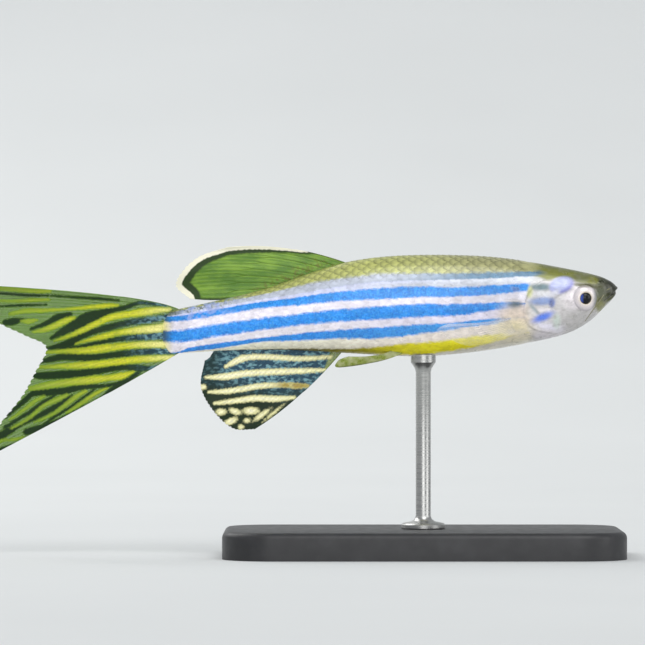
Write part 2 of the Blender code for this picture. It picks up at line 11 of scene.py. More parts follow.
import bpy
import numpy as np
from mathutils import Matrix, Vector


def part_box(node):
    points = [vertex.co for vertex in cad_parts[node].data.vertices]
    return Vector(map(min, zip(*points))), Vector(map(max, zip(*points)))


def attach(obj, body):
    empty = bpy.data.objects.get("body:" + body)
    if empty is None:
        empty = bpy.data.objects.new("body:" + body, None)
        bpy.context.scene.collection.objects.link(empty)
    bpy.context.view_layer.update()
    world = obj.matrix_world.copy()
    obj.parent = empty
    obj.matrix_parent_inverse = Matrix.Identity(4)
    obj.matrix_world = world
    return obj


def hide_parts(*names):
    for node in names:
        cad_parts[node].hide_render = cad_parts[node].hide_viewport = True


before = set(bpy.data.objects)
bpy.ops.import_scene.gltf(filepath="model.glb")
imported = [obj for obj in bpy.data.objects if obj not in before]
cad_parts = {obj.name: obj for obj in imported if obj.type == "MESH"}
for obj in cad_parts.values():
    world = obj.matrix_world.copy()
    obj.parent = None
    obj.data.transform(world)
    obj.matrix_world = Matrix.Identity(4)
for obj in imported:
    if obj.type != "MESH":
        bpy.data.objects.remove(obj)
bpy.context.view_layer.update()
MM = 0.001
print("nodes:", ", ".join(sorted(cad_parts)))

# %% [markdown]
# ## The lines of the body
#
# A fish is easiest to draw with a few lines: its back, its belly and its width, each against the
# distance behind the snout. All lengths are millimetres. A station s is how far back from the snout a
# point is, y is towards the fish's left, and z is up from the level of the eye. The solids were drawn
# from these lines, so the skin, the scales and the fins made from them fit the solids.

# %% Body lines
ROD_STATION = 15.5
EYE_LEVEL = 20.5
BODY_LENGTH = 35.9
BACK_LINE = (
    (0.0, 1.25), (1.4, 1.9), (4.6, 2.62), (9.4, 3.4), (14.2, 3.62), (18.9, 3.45),
    (22.6, 2.8), (28.6, 0.78), (35.9, -0.9),
)
BELLY_LINE = (
    (0.0, 0.45), (1.0, -0.56), (2.2, -1.7), (3.8, -2.6), (6.2, -3.25), (11.0, -4.1),
    (15.8, -4.5), (20.6, -4.3), (26.0, -4.0), (30.5, -4.02), (35.9, -4.3),
)
HALF_WIDTH = (
    (0.0, 0.55), (0.7, 1.02), (1.7, 1.42), (3.2, 1.75), (5.6, 2.08), (9.0, 2.3), (14.0, 2.36),
    (19.0, 2.1), (24.0, 1.55), (30.0, 0.92), (35.9, 0.5),
)
WIDEST_SHARE = ((0.0, 0.5), (3.0, 0.56), (9.0, 0.5), (20.0, 0.54), (35.9, 0.5))
SNOUT_TIP_Z = 0.92
NOSE_ROUND = 0.55
FLANK_FULLNESS = 0.88
RIM_FULLNESS = 0.96
TAIL_SWAY = 3.0
SWAY_FROM = 20.0
SWAY_TO = 52.0
TAIL_THIN_FROM = 34.3
TAIL_THIN_TO = 36.55
TAIL_THIN_BY = 0.96
TAIL_THIN_BEND = 1.4
DEEPEST = 14.0


def curve_at(points, x):
    """Height of a smooth curve through (place, value) points at each x, level past its ends."""
    places, values = np.array(points, float).T
    last = len(places) - 1
    low = np.maximum(np.arange(last + 1) - 1, 0)
    high = np.minimum(np.arange(last + 1) + 1, last)
    slopes = (values[high] - values[low]) / (places[high] - places[low])
    x = np.clip(x, places[0], places[-1])
    i = np.clip(np.searchsorted(places, x, side="right") - 1, 0, last - 1)
    step = places[i + 1] - places[i]
    t = (x - places[i]) / step
    return (
        values[i] * (2 * t**3 - 3 * t**2 + 1)
        + slopes[i] * step * (t**3 - 2 * t**2 + t)
        + values[i + 1] * (3 * t**2 - 2 * t**3)
        + slopes[i + 1] * step * (t**3 - t**2)
    )


def smooth(x, low, high):
    """0 below low, 1 above high, and an even S between them."""
    t = np.clip((x - low) / (high - low), 0, 1)
    return t * t * (3 - 2 * t)


print("the body is", BODY_LENGTH, "mm long")
print("and", round(float(curve_at(BACK_LINE, DEEPEST) - curve_at(BELLY_LINE, DEEPEST)), 2), "mm deep")

# %% [markdown]
# ## A point on the skin
#
# The cross-section is a full oval. Its angle, called the turn, is 0 on the back, 90 on the left flank,
# 180 on the belly and 270 on the right flank. One function gives the point for any station and turn,
# and a second gives the outward direction there. The tail also swings a little to the left, and its
# root thins down to the thickness of the tail fin, so that the two run into each other.

# %% Points and directions on the body
NORMAL_STEP = 0.02
TURN_STEP = 1.0


def sway(s):
    """How far the tail has swung to the fish's left at station s."""
    return TAIL_SWAY * np.maximum(0, (s - SWAY_FROM) / (SWAY_TO - SWAY_FROM)) ** 2


def section(s):
    """Back, belly, half width and level of the widest line at each station."""
    nose = np.sqrt(1 - (1 - np.clip(s / NOSE_ROUND, 0, 1)) ** 2)
    thin = np.clip((s - TAIL_THIN_FROM) / (TAIL_THIN_TO - TAIL_THIN_FROM), 0, 1)
    back = SNOUT_TIP_Z + (curve_at(BACK_LINE, s) - SNOUT_TIP_Z) * nose
    belly = SNOUT_TIP_Z + (curve_at(BELLY_LINE, s) - SNOUT_TIP_Z) * nose
    half = curve_at(HALF_WIDTH, s) * nose * (1 - TAIL_THIN_BY * thin**TAIL_THIN_BEND)
    return back, belly, half, belly + (back - belly) * curve_at(WIDEST_SHARE, s)


def body_point(s, turn):
    """Points of the body's outline, as station, y and z."""
    s, turn = np.broadcast_arrays(np.asarray(s, float), np.asarray(turn, float))
    back, belly, half, widest = section(s)
    across, up = np.sin(np.radians(turn)), np.cos(np.radians(turn))
    reach = np.where(up >= 0, back - widest, widest - belly)
    y = half * np.sign(across) * np.abs(across) ** FLANK_FULLNESS
    z = widest + reach * np.sign(up) * np.abs(up) ** RIM_FULLNESS
    return np.stack([s, sway(s) + y, z], axis=-1)


def body_normal(s, turn):
    """Outward directions there."""
    s = np.clip(s, 2 * NORMAL_STEP, None)
    along = body_point(s + NORMAL_STEP, turn) - body_point(s - NORMAL_STEP, turn)
    around = body_point(s, turn + TURN_STEP) - body_point(s, turn - TURN_STEP)
    normal = np.cross(along, around)
    return normal / np.maximum(np.linalg.norm(normal, axis=-1, keepdims=True), 1e-9)


def sunk_point(s, turn, side, sink):
    """A point a little under the skin on one side, +1 left or -1 right, and the outward direction."""
    turn = turn if side > 0 else 360 - turn
    normal = body_normal(np.array([s]), np.array([turn]))[0]
    return body_point(s, turn) - normal * sink, normal


def fold(turn):
    """The turn on either side, as 0 on the back to 180 on the belly."""
    return 180 - np.abs(180 - np.mod(turn, 360))


def to_frame(points):
    """Points in the fish's millimetres, as metres in the model's own frame."""
    s, y, z = np.moveaxis(np.asarray(points, float), -1, 0)
    return np.stack([ROD_STATION - s, y, EYE_LEVEL + z], axis=-1) * MM


def to_fish(points):
    """The way back: metres in the frame, as the fish's millimetres."""
    x, y, z = np.moveaxis(np.asarray(points, float) / MM, -1, 0)
    return np.stack([ROD_STATION - x, y, z - EYE_LEVEL], axis=-1)


print("the flank at station 10 is at", np.round(body_point(10.0, 90.0), 2))

# %% [markdown]
# ## Camera
#
# The photograph shows the right side of the fish, square on, from some distance. One picture element
# covers 0.08 mm at the fish, and the picture is 645 elements wide. A long lens at 0.4 m gives that
# frame with little perspective.

# %% Camera
ELEMENT = 0.08
PICTURE = 645
SNOUT_ELEMENT = 617
EYE_LEVEL_ELEMENT = 300
CAMERA_DISTANCE = 400.0
SENSOR = 36.0
NEAREST = 0.01


def named(name):
    """The object just made, with its name."""
    bpy.context.object.name = name
    return bpy.context.object


view_width = PICTURE * ELEMENT
view_x = ROD_STATION - (SNOUT_ELEMENT - PICTURE / 2) * ELEMENT
view_z = EYE_LEVEL + (EYE_LEVEL_ELEMENT - PICTURE / 2) * ELEMENT
bpy.ops.object.camera_add(
    location=(view_x * MM, -CAMERA_DISTANCE * MM, view_z * MM), rotation=(math.pi / 2, 0, 0)
)
camera = named("camera")
camera.data.sensor_width = SENSOR
camera.data.lens = SENSOR * CAMERA_DISTANCE / view_width
camera.data.clip_start = NEAREST
bpy.context.scene.camera = camera
print("the lens is", round(camera.data.lens), "mm, and the frame is", view_width, "mm wide at the fish")

# %% [markdown]
# ## Floor and light
#
# The studio is a pale sheet that lies under the stand and curves up behind the fish, so that no edge
# shows. It starts as a plane. Its far edge is extruded upwards, and the fold is bevelled into a wide
# curve that begins 0.15 m behind the fish, so that the pale tone hardly changes up the picture.

# %% Floor and backdrop
FLOOR_SIZE = 1.7
WALL_HEIGHT = 1.4
WALL_CURVE = 0.7
WALL_STEPS = 24
NEAR = 0.01


def tag_edges(obj, wanted):
    """Selects only the edges for whose two ends wanted is true, in edit mode."""
    bpy.ops.mesh.select_all(action="DESELECT")
    bpy.ops.mesh.select_mode(type="EDGE")
    bpy.ops.object.mode_set(mode="OBJECT")
    places = [v.co.copy() for v in obj.data.vertices]
    for edge in obj.data.edges:
        edge.select = wanted(*[places[i] for i in edge.vertices])
    bpy.ops.object.mode_set(mode="EDIT")


bpy.ops.mesh.primitive_plane_add(size=FLOOR_SIZE, location=(0, 0, 0))
floor = named("studio_floor")
bpy.ops.object.mode_set(mode="EDIT")
tag_edges(floor, lambda a, b: min(a.y, b.y) > FLOOR_SIZE / 2 - NEAR)
bpy.ops.mesh.extrude_region_move(TRANSFORM_OT_translate={"value": (0, 0, WALL_HEIGHT)})
tag_edges(floor, lambda a, b: min(a.y, b.y) > FLOOR_SIZE / 2 - NEAR and max(a.z, b.z) < NEAR)
bpy.ops.mesh.bevel(offset=WALL_CURVE, segments=WALL_STEPS, affect="EDGES")
bpy.ops.object.mode_set(mode="OBJECT")
bpy.ops.object.shade_smooth()
print("the backdrop has", len(floor.data.polygons), "faces")

# %% [markdown]
# The main light comes from far off, above and in front, and from a wide patch of sky, so that it lights
# the fish and the sheet alike and its shadows are soft. A weaker lamp stands on the head's side, a low
# one in front brightens the belly, and one behind shines through the fins. The sky adds even light. The
# picture is shown without a film curve, so that the blues keep their strength.

# %% Lights
LAMPS = (
    ("side", (0.45, -0.2, 0.15), 0.3, 0.55),
    ("front", (0.02, -0.5, 0.04), 0.3, 0.66),
    ("behind", (-0.25, 0.2, 0.3), 0.3, 0.9),
)
LIGHT_AIM = Vector((-0.008, 0, 0.018))
SKY_PLACE = (0.25, -0.85, 1.0)
SKY_SPREAD = 40.0
SKY_STRENGTH = 1.28
STUDIO_TINT = (0.92, 0.95, 1.0, 1)
STUDIO_STRENGTH = 0.52


def facing(place):
    """The turn by which a lamp at a place looks at the fish."""
    return (LIGHT_AIM - Vector(place)).to_track_quat("-Z", "Y").to_euler()


def soft_lamp(name, place, size, power):
    """A square area lamp that looks at the fish."""
    bpy.ops.object.light_add(type="AREA", location=place, rotation=facing(place))
    lamp = named("lamp_" + name)
    lamp.data.size = size
    lamp.data.energy = power
    return lamp


lamps = [soft_lamp(*lamp) for lamp in LAMPS]
bpy.ops.object.light_add(type="SUN", location=SKY_PLACE, rotation=facing(SKY_PLACE))
main_lamp = named("lamp_main")
main_lamp.data.angle = math.radians(SKY_SPREAD)
main_lamp.data.energy = SKY_STRENGTH
world = bpy.data.worlds.new("studio")
bpy.context.scene.world = world
world.use_nodes = True
background = world.node_tree.nodes["Background"]
background.inputs["Color"].default_value = STUDIO_TINT
background.inputs["Strength"].default_value = STUDIO_STRENGTH
bpy.context.scene.view_settings.view_transform = "Standard"
print(len(lamps) + 1, "lights")

# %% [markdown]
# ## Building blocks for finishes
#
# Every finish is a small tree of shader nodes. One helper adds a node and fills its inputs: an input
# may be a value, or the output of an earlier node. Colours are written as in a picture file, from 0 to
# 255, and turned into the light amounts that shaders count in.

# %% Shader helpers
MIX_SHARE, MIX_FIRST, MIX_SECOND, MIX_RESULT = 0, 6, 7, 2


def colour(red, green, blue, alpha=1.0):
    """A colour, 0 to 255 a channel, as light amounts."""
    channels = [c / 255 for c in (red, green, blue)]
    return (*[c / 12.92 if c <= 0.04045 else ((c + 0.055) / 1.055) ** 2.4 for c in channels], alpha)


def add(tree, kind, inputs=None, **settings):
    """Adds a shader node. Each input is given by name or number, as a value or another node's output."""
    made = tree.nodes.new("ShaderNode" + kind)
    for name, value in settings.items():
        setattr(made, name, value)
    for name, value in (inputs or {}).items():
        if isinstance(value, bpy.types.NodeSocket):
            tree.links.new(value, made.inputs[name])
        else:
            made.inputs[name].default_value = value
    return made


def mix(tree, share, first, second, blend="MIX"):
    """The colour between two others, or one worked on the other."""
    sockets = {MIX_SHARE: share, MIX_FIRST: first, MIX_SECOND: second}
    return add(tree, "Mix", sockets, data_type="RGBA", blend_type=blend).outputs[MIX_RESULT]


def ranged(tree, value, low, high, start=0.0, end=1.0):
    """A value stretched smoothly from low..high to start..end."""
    sockets = {"Value": value, "From Min": low, "From Max": high, "To Min": start, "To Max": end}
    return add(tree, "MapRange", sockets, interpolation_type="SMOOTHSTEP").outputs["Result"]


def sums(tree, operation, first, second):
    """One sum on two values."""
    return add(tree, "Math", {0: first, 1: second}, operation=operation).outputs[0]


def swing(tree, pattern, reach):
    """A pattern's swing about its middle, reach wide in all."""
    return sums(tree, "MULTIPLY", sums(tree, "SUBTRACT", pattern, 0.5), reach)


def dimmed(tree, tint, value):
    """A colour times a value."""
    grey = add(tree, "CombineColor", {"Red": value, "Green": value, "Blue": value}).outputs["Color"]
    return mix(tree, 1.0, tint, grey, "MULTIPLY")


def ramp(tree, place, stops):
    """A colour ramp over a value, with (place, colour) stops."""
    made = add(tree, "ValToRGB", {"Fac": place})
    elements = made.color_ramp.elements
    while len(elements) < len(stops):
        elements.new(0.5)
    for element, (at, tint) in zip(elements, stops):
        element.position = at
        element.color = colour(*tint)
    return made.outputs["Color"]


def noise(tree, size, detail=2.0, stretch=(1, 1, 1)):
    """Cloudy noise in the object's own space, its grains about size millimetres across."""
    place = add(tree, "TexCoord").outputs["Object"]
    scaled = add(tree, "Mapping", {"Vector": place, "Scale": stretch}).outputs["Vector"]
    sockets = {"Vector": scaled, "Scale": 1 / (size * MM), "Detail": detail}
    return add(tree, "TexNoise", sockets).outputs["Fac"]


def attribute(tree, name, output="Fac"):
    """A value kept on the mesh."""
    return add(tree, "Attribute", attribute_name=name).outputs[output]


def bump(tree, height, depth):
    """A surface direction that a height pattern tips, depth in millimetres."""
    return add(tree, "Bump", {"Height": height, "Distance": depth * MM, "Strength": 1.0}).outputs["Normal"]


def finish(name, **constants):
    """A new material, with the values that are alike all over set on its shader."""
    made = bpy.data.materials.new(name)
    made.use_nodes = True
    shader = made.node_tree.nodes["Principled BSDF"]
    for key, value in constants.items():
        shader.inputs[key.replace("_", " ")].default_value = value
    return made, made.node_tree, shader


floor_finish, tree, shader = finish("studio_paper", Roughness=0.85)
grain = mix(tree, noise(tree, 40.0), colour(204, 206, 205), colour(210, 212, 211))
tree.links.new(grain, shader.inputs["Base Color"])
floor.data.materials.append(floor_finish)
print("finished", floor_finish.name)

# %% [markdown]
# ## Building blocks for meshes
#
# Most pieces here start as a primitive whose points are then put where a formula says. Numpy moves
# all the points at once. Values such as the place in the stripe pattern are kept on the points as
# attributes, so that the skin and the scales above it can carry the same markings.

# %% Mesh helpers


def places(obj):
    """The points of a mesh, one row each."""
    flat = np.empty(len(obj.data.vertices) * 3)
    obj.data.vertices.foreach_get("co", flat)
    return flat.reshape(-1, 3)


def put(obj, points):
    """Moves the points of a mesh."""
    obj.data.vertices.foreach_set("co", np.asarray(points, float).ravel())
    obj.data.update()


def keep_value(obj, name, values):
    """Keeps one number a point on the mesh. A single number is kept on every point."""
    layer = obj.data.attributes.new(name, "FLOAT", "POINT")
    layer.data.foreach_set("value", np.broadcast_to(values, len(obj.data.vertices)).astype(float))


def keep_colour(obj, name, values):
    """Keeps one colour a point on the mesh."""
    layer = obj.data.attributes.new(name, "FLOAT_COLOR", "POINT")
    rows = np.concatenate([values, np.ones((len(values), 1))], axis=1)
    layer.data.foreach_set("color", rows.ravel())


def only(obj):
    """Makes one object the only selected one, and the active one."""
    bpy.ops.object.select_all(action="DESELECT")
    obj.select_set(True)
    bpy.context.view_layer.objects.active = obj


def outwards(obj):
    """Turns the faces of a closed mesh outwards."""
    only(obj)
    bpy.ops.object.mode_set(mode="EDIT")
    bpy.ops.mesh.select_all(action="SELECT")
    bpy.ops.mesh.normals_make_consistent(inside=False)
    bpy.ops.object.mode_set(mode="OBJECT")


def apply_all(obj):
    """Applies the modifiers, then the place, turn and size of an object."""
    only(obj)
    for step in list(obj.modifiers):
        bpy.ops.object.modifier_apply(modifier=step.name)
    bpy.ops.object.transform_apply(location=True, rotation=True, scale=True)


def dress(obj, material, smooth_angle=60.0):
    """Gives a piece its finish, smooths it by angle and hangs it under the root."""
    obj.data.materials.clear()
    obj.data.materials.append(material)
    only(obj)
    bpy.ops.object.shade_smooth_by_angle(angle=math.radians(smooth_angle))
    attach(obj, "root")


print("mesh helpers are ready")

# %% [markdown]
# ## Where the stripes run
#
# Three strong blue stripes run from the gill cover to the tail, with silver-white between them. A faint
# grey-blue one lies above them, and a short yellow one below. Each of the five is written as rows of a
# station and its upper and lower rim, as a share of the way from the back to the belly. From these rims
# every point gets one number, its band: 0 on the back, 1 at the first stripe's upper rim, 2 at its
# lower rim, and so on to 11 on the belly. The whole pattern is moved down by a small drop. A colour
# ramp over the band then paints all the stripes.

# %% Stripe rims
STRIPES = (
    ((6.0, 0.09, 0.16), (7.8, 0.13, 0.187), (9.4, 0.159, 0.22), (12.6, 0.182, 0.241),
     (19.0, 0.174, 0.25), (22.2, 0.16, 0.252), (25.4, 0.115, 0.224), (28.6, 0.065, 0.149),
     (31.8, 0.03, 0.119), (35.9, 0.02, 0.1)),
    ((6.6, 0.27, 0.35), (7.8, 0.273, 0.363), (9.4, 0.295, 0.397), (12.6, 0.318, 0.418),
     (15.8, 0.305, 0.412), (19.0, 0.31, 0.43), (22.2, 0.305, 0.418), (25.4, 0.262, 0.377),
     (28.6, 0.184, 0.292), (31.8, 0.152, 0.286), (34.6, 0.143, 0.265), (36.4, 0.09, 0.215)),
    ((7.9, 0.51, 0.515), (8.3, 0.494, 0.555), (9.4, 0.489, 0.559), (12.6, 0.485, 0.602),
     (15.8, 0.475, 0.607), (19.0, 0.494, 0.635), (22.2, 0.506, 0.646), (25.4, 0.492, 0.655),
     (28.6, 0.463, 0.664), (31.8, 0.447, 0.702), (34.6, 0.459, 0.737), (36.4, 0.45, 0.69)),
    ((8.3, 0.672, 0.675), (8.9, 0.663, 0.7), (10.2, 0.662, 0.716), (11.8, 0.668, 0.724),
     (13.4, 0.678, 0.745), (15.8, 0.678, 0.773), (19.0, 0.708, 0.827), (22.2, 0.737, 0.834),
     (25.4, 0.76, 0.858), (28.6, 0.796, 0.857), (31.8, 0.834, 0.934), (34.2, 0.88, 0.971),
     (35.2, 0.968, 0.984), (36.4, 0.97, 0.985)),
    ((8.4, 0.86, 0.862), (9.0, 0.838, 0.89), (11.0, 0.83, 0.935), (14.2, 0.848, 0.967),
     (17.4, 0.871, 0.985), (19.0, 0.908, 0.99), (21.0, 0.945, 0.99), (24.5, 0.97, 0.99),
     (27.0, 0.985, 0.99), (35.9, 0.985, 0.99)),
)
BANDS = 2 * len(STRIPES) + 1
STRIPE_DROP = 0.06
THINNEST_BODY = 0.01
THINNEST_BAND = 0.001


def band_at(s, z):
    """The place in the stripe pattern at each station and level."""
    back, belly, _, _ = section(s)
    share = np.clip((back - z - STRIPE_DROP) / np.maximum(back - belly, THINNEST_BODY), 0, 1)
    rims = [np.zeros_like(share)]
    for stripe in STRIPES:
        for column in (1, 2):
            rim = curve_at([(row[0], row[column]) for row in stripe], s)
            rims.append(np.maximum(rim, rims[-1] + THINNEST_BAND))
    rims.append(np.maximum(1, rims[-1] + THINNEST_BAND))
    band = np.zeros_like(share)
    for low, high in zip(rims[:-1], rims[1:]):
        band += np.clip((share - low) / (high - low), 0, 1)
    return band


print("the pattern has", BANDS, "bands")

# %% [markdown]
# ## The patches of the head
#
# The head has no stripes. It is silver below and olive above, with a dark snout, a lilac oval behind
# the eye and small blue and white patches on the gill cover. Each is an oval with a soft rim, given by
# its middle, its half length and height, its tilt, its softness and its colour, and laid on in this
# order. A few more, with a strength each, are laid over the front of the stripes.

# %% Head patches
GILL_TOP_TURN = 58.0
GILL_BOTTOM_TURN = 150.0
GILL_REAR = ((0.0, 5.9), (0.14, 6.8), (0.36, 7.45), (0.6, 7.5), (0.82, 6.7), (1.0, 5.2))
SHADE_LINE = (
    (0.0, 0.2), (1.0, -0.2), (1.45, 0.2), (1.9, 0.95), (2.7, 1.18), (3.6, 1.55), (4.6, 1.72), (5.6, 1.5),
    (7.4, 1.9),
)
CHEEK = colour(206, 202, 202)
CROWN = colour(118, 122, 42)
RIDGE = colour(84, 90, 26)
PATCHES = (
    ("snout", 0.9, 1.0, 1.3, 1.25, -20, 0.45, (44, 48, 6)),
    ("snout tip", 0.35, 1.2, 0.65, 0.75, 0, 0.5, (28, 32, 6)),
    ("grey above the eye", 2.9, 1.8, 0.8, 0.4, 8, 0.6, (100, 104, 56)),
    ("olive before the brow", 2.0, 1.52, 0.45, 0.36, 0, 0.5, (112, 114, 36)),
    ("round the eye", 3.0, 0.08, 1.3, 1.08, 0, 0.3, (226, 219, 222)),
    ("before the eye", 1.42, 0.3, 0.42, 0.85, 6, 0.6, (88, 92, 70)),
    # The brow line is painted shade along the top of the eye.
    ("brow line", 2.5, 1.15, 1.1, 0.17, -5, 0.5, (66, 66, 18)),
    ("below the eye", 3.1, -1.5, 1.6, 0.8, 10, 0.6, (190, 187, 186)),
    ("stripe end", 6.95, 2.16, 1.0, 0.24, 0, 0.5, (72, 98, 108)),
    ("white streak", 6.95, 1.62, 0.95, 0.25, 0, 0.4, (190, 190, 190)),
    ("temple", 6.2, 1.02, 0.85, 0.3, 0, 0.6, (108, 130, 136)),
    ("temple yellow", 7.1, 0.64, 0.26, 0.42, 0, 0.6, (206, 210, 150)),
    ("temple white", 6.0, 0.44, 0.7, 0.26, 0, 0.6, (212, 212, 216)),
    ("oval rim", 4.5, 1.17, 0.96, 0.62, 20, 0.25, (128, 130, 198)),
    ("oval", 4.64, 1.26, 0.84, 0.5, 20, 0.35, (174, 180, 216)),
    ("behind the oval", 5.1, 0.5, 0.42, 0.22, 30, 0.7, (208, 208, 220)),
    ("gill blue grey", 6.1, -0.1, 0.95, 0.32, 4, 0.5, (134, 154, 200)),
    ("gill spot", 5.3, -0.24, 0.24, 0.34, 0, 0.6, (102, 120, 180)),
    ("gill cream", 5.9, -0.78, 0.82, 0.22, -8, 0.5, (230, 224, 226)),
    ("gill seam", 6.75, -0.72, 0.5, 0.14, -48, 0.8, (136, 158, 170)),
    ("gill light", 7.05, -1.1, 0.42, 0.34, 0, 0.6, (216, 222, 230)),
    ("gill blue", 6.15, -1.45, 0.95, 0.3, 24, 0.6, (92, 132, 236)),
    ("gill lilac", 6.0, -2.35, 1.35, 0.52, 0, 0.7, (244, 240, 255)),
    ("gill green", 4.9, -1.7, 0.3, 0.55, 0, 0.7, (208, 217, 210)),
    ("throat", 5.0, -3.0, 3.2, 0.45, -18, 0.6, (226, 220, 224)),
    ("jaw", 1.3, -0.6, 0.9, 0.42, -45, 0.6, (128, 128, 80)),
)
BODY_PATCHES = (
    ("shoulder", 8.2, -1.3, 1.3, 1.0, 0, 0.6, (228, 210, 190), 0.9),
    ("yellow shoulder", 8.5, -2.4, 1.5, 0.75, 0, 0.7, (236, 224, 176), 0.8),
    ("stripe's dark end", 8.25, -0.34, 0.55, 0.26, 0, 0.6, (58, 84, 92), 0.9),
    ("pale behind the cover", 7.9, -2.7, 0.9, 0.3, 0, 0.6, (232, 222, 202), 0.85),
    ("dark fleck", 8.2, 0.82, 0.3, 0.14, 0, 0.7, (88, 84, 128), 0.8),
)
SHADE_SOFT = (-0.12, 0.22)
RIDGE_TURNS = (14, 42)
RIDGE_STRENGTH = 0.8
SEAM_TINT = colour(118, 118, 132)
SEAM_STRENGTH = 0.4
SEAM_WIDTH = 0.1
SEAM_FADE = (-1.4, -0.2)
GILL_END_SLOPE = 4.2
HEAD_REAR = ((0, 6.4), (45, 6.5), (62, 7.0), (90, 7.4), (125, 7.3), (150, 6.9), (180, 6.8))
REAR_BLUR = ((0, 0.7), (45, 0.5), (70, 0.14), (145, 0.14), (165, 0.5), (180, 0.7))
GILL_LINE = ((3.76, 0.82), (4.4, 0.54), (4.9, 0.22), (5.3, -0.1), (5.35, -0.9), (4.9, -1.9), (4.0, -2.5))
# Painted shade on the flank just behind the gill cover: the oval where the tone is dimmed, and by how much.
SHADED_FLANK = (10.4, 0.05, 3.6, 1.25, 0, 0.5)
SHADE_STRENGTH = 0.2


def tilted(s, z, place, level, tilt):
    """How far a point lies from a place along a tilted line, and how far across it."""
    turn = math.radians(tilt)
    along = (s - place) * math.cos(turn) - (z - level) * math.sin(turn)
    up = (s - place) * math.sin(turn) + (z - level) * math.cos(turn)
    return along, up


def oval(s, z, place, level, length, height, tilt, soft):
    """1 inside a tilted oval, falling to 0 across its rim."""
    along, up = tilted(s, z, place, level, tilt)
    return 1 - smooth(np.hypot(along / length, up / height), 1 - soft, 1 + soft)


def path_gap(s, z, path):
    """Distance to a bent line of (station, level) points."""
    nearest = np.full(np.shape(s), np.inf)
    for (s0, z0), (s1, z1) in zip(path[:-1], path[1:]):
        run, rise = s1 - s0, z1 - z0
        t = np.clip(((s - s0) * run + (z - z0) * rise) / (run * run + rise * rise), 0, 1)
        nearest = np.minimum(nearest, np.hypot(s - s0 - t * run, z - z0 - t * rise))
    return nearest


def gill_gap(s, turn):
    """How far inside the gill cover's free rim a point is, in mm, negative behind it."""
    b = (fold(turn) - GILL_TOP_TURN) / (GILL_BOTTOM_TURN - GILL_TOP_TURN)
    ends = np.minimum(b, 1 - b) * GILL_END_SLOPE
    return np.minimum(curve_at(GILL_REAR, np.clip(b, 0, 1)) - s, ends)


def hump(gap, width):
    """1 where a gap is 0, falling off like a bell on both sides of it."""
    return np.exp(-((gap / width) ** 2))


def laid_on(paint, tint, weight):
    """Paint, a row of red, green and blue for each point, with a tint laid on by weight."""
    weight = weight[:, None]
    return np.asarray(paint)[..., :3] * (1 - weight) + np.asarray(tint)[..., :3] * weight


def head_paint(s, turn, z):
    """Colour of the head at each point, and how much of it covers the stripes."""
    crown = laid_on(CROWN, RIDGE, RIDGE_STRENGTH * (1 - smooth(fold(turn), *RIDGE_TURNS)))
    paint = laid_on(CHEEK, crown, smooth(z - curve_at(SHADE_LINE, s), *SHADE_SOFT))
    for _, *place, tint in PATCHES:
        paint = laid_on(paint, colour(*tint), oval(s, z, *place))
    seam = SEAM_STRENGTH * hump(path_gap(s, z, GILL_LINE), SEAM_WIDTH)
    paint = laid_on(paint, SEAM_TINT, seam * smooth(z, *SEAM_FADE))
    cover = 1 - smooth((s - curve_at(HEAD_REAR, fold(turn))) / curve_at(REAR_BLUR, fold(turn)), -1, 1)
    for _, *place, tint, strength in BODY_PATCHES:
        weight = strength * oval(s, z, *place)
        under = cover * (1 - weight)
        paint = laid_on(paint, colour(*tint), weight / np.maximum(weight + under, 1e-6))
        cover = weight + under
    return paint, cover


print(len(PATCHES) + len(BODY_PATCHES), "patches")

# %% [markdown]
# ## The body's finish
#
# The skin of this fish shines because thin crystals lie under it: blue ones in the stripes and silver
# ones between. The finish is a clear coat over paint with a little metal in it. The stripe ramp is
# made three times, for the front, the rear and the root of the tail, where blue turns to navy and
# white to yellow, and the station blends them. The top bands change at stations of their own. Fine
# noise roughens the rims, sets light and dark flecks in the blue, dark specks on the back near the
# tail and pale clouds in the upper blue stripe there, and mottles the head. The ramp of the tail's root
# is laid on last.

# %% Finish of skin and scales
FRONT_COLOURS = (
    (166, 165, 114), (66, 112, 142), (198, 202, 212), (36, 140, 226), (224, 220, 232), (26, 142, 232),
    (230, 224, 240), (66, 158, 236), (250, 238, 228), (255, 244, 48), (236, 230, 214),
)
REAR_COLOURS = (
    (186, 190, 108), (194, 200, 214), (214, 218, 246), (28, 145, 234), (238, 232, 242), (22, 145, 238),
    (240, 234, 242), (36, 144, 236), (255, 250, 228), (112, 100, 40), (196, 188, 128),
)
TAIL_COLOURS = (
    (96, 104, 58), (84, 100, 84), (96, 116, 110), (44, 80, 100), (238, 228, 146), (46, 84, 108),
    (236, 226, 140), (36, 70, 90), (44, 64, 44), (60, 74, 36), (120, 124, 60),
)
RIM_SOFT = 0.13
FRONT_END, REAR_START = 15.0, 25.0
TOP_FRONT_END, TOP_REAR_START = 10.0, 20.0
TOP_TAIL_FROM, TAIL_FROM, TAIL_TO = 34.0, 35.4, 36.4
SCALE_RIM_TINT = colour(78, 80, 52)
LIGHT_FLECK = colour(92, 184, 244)
DARK_FLECK = colour(14, 100, 208)
BACK_SPECK = colour(84, 98, 84)
TAIL_CLOUD = colour(160, 178, 232)
HEAD_MOTTLE = colour(140, 138, 126)


def stripe_ramp(tree, place, tints):
    """A colour ramp with a flat stretch for each band."""
    stops = []
    for k, tint in enumerate(tints):
        stops += [((k + RIM_SOFT) / BANDS, tint), ((k + 1 - RIM_SOFT) / BANDS, tint)]
    return ramp(tree, place, stops)


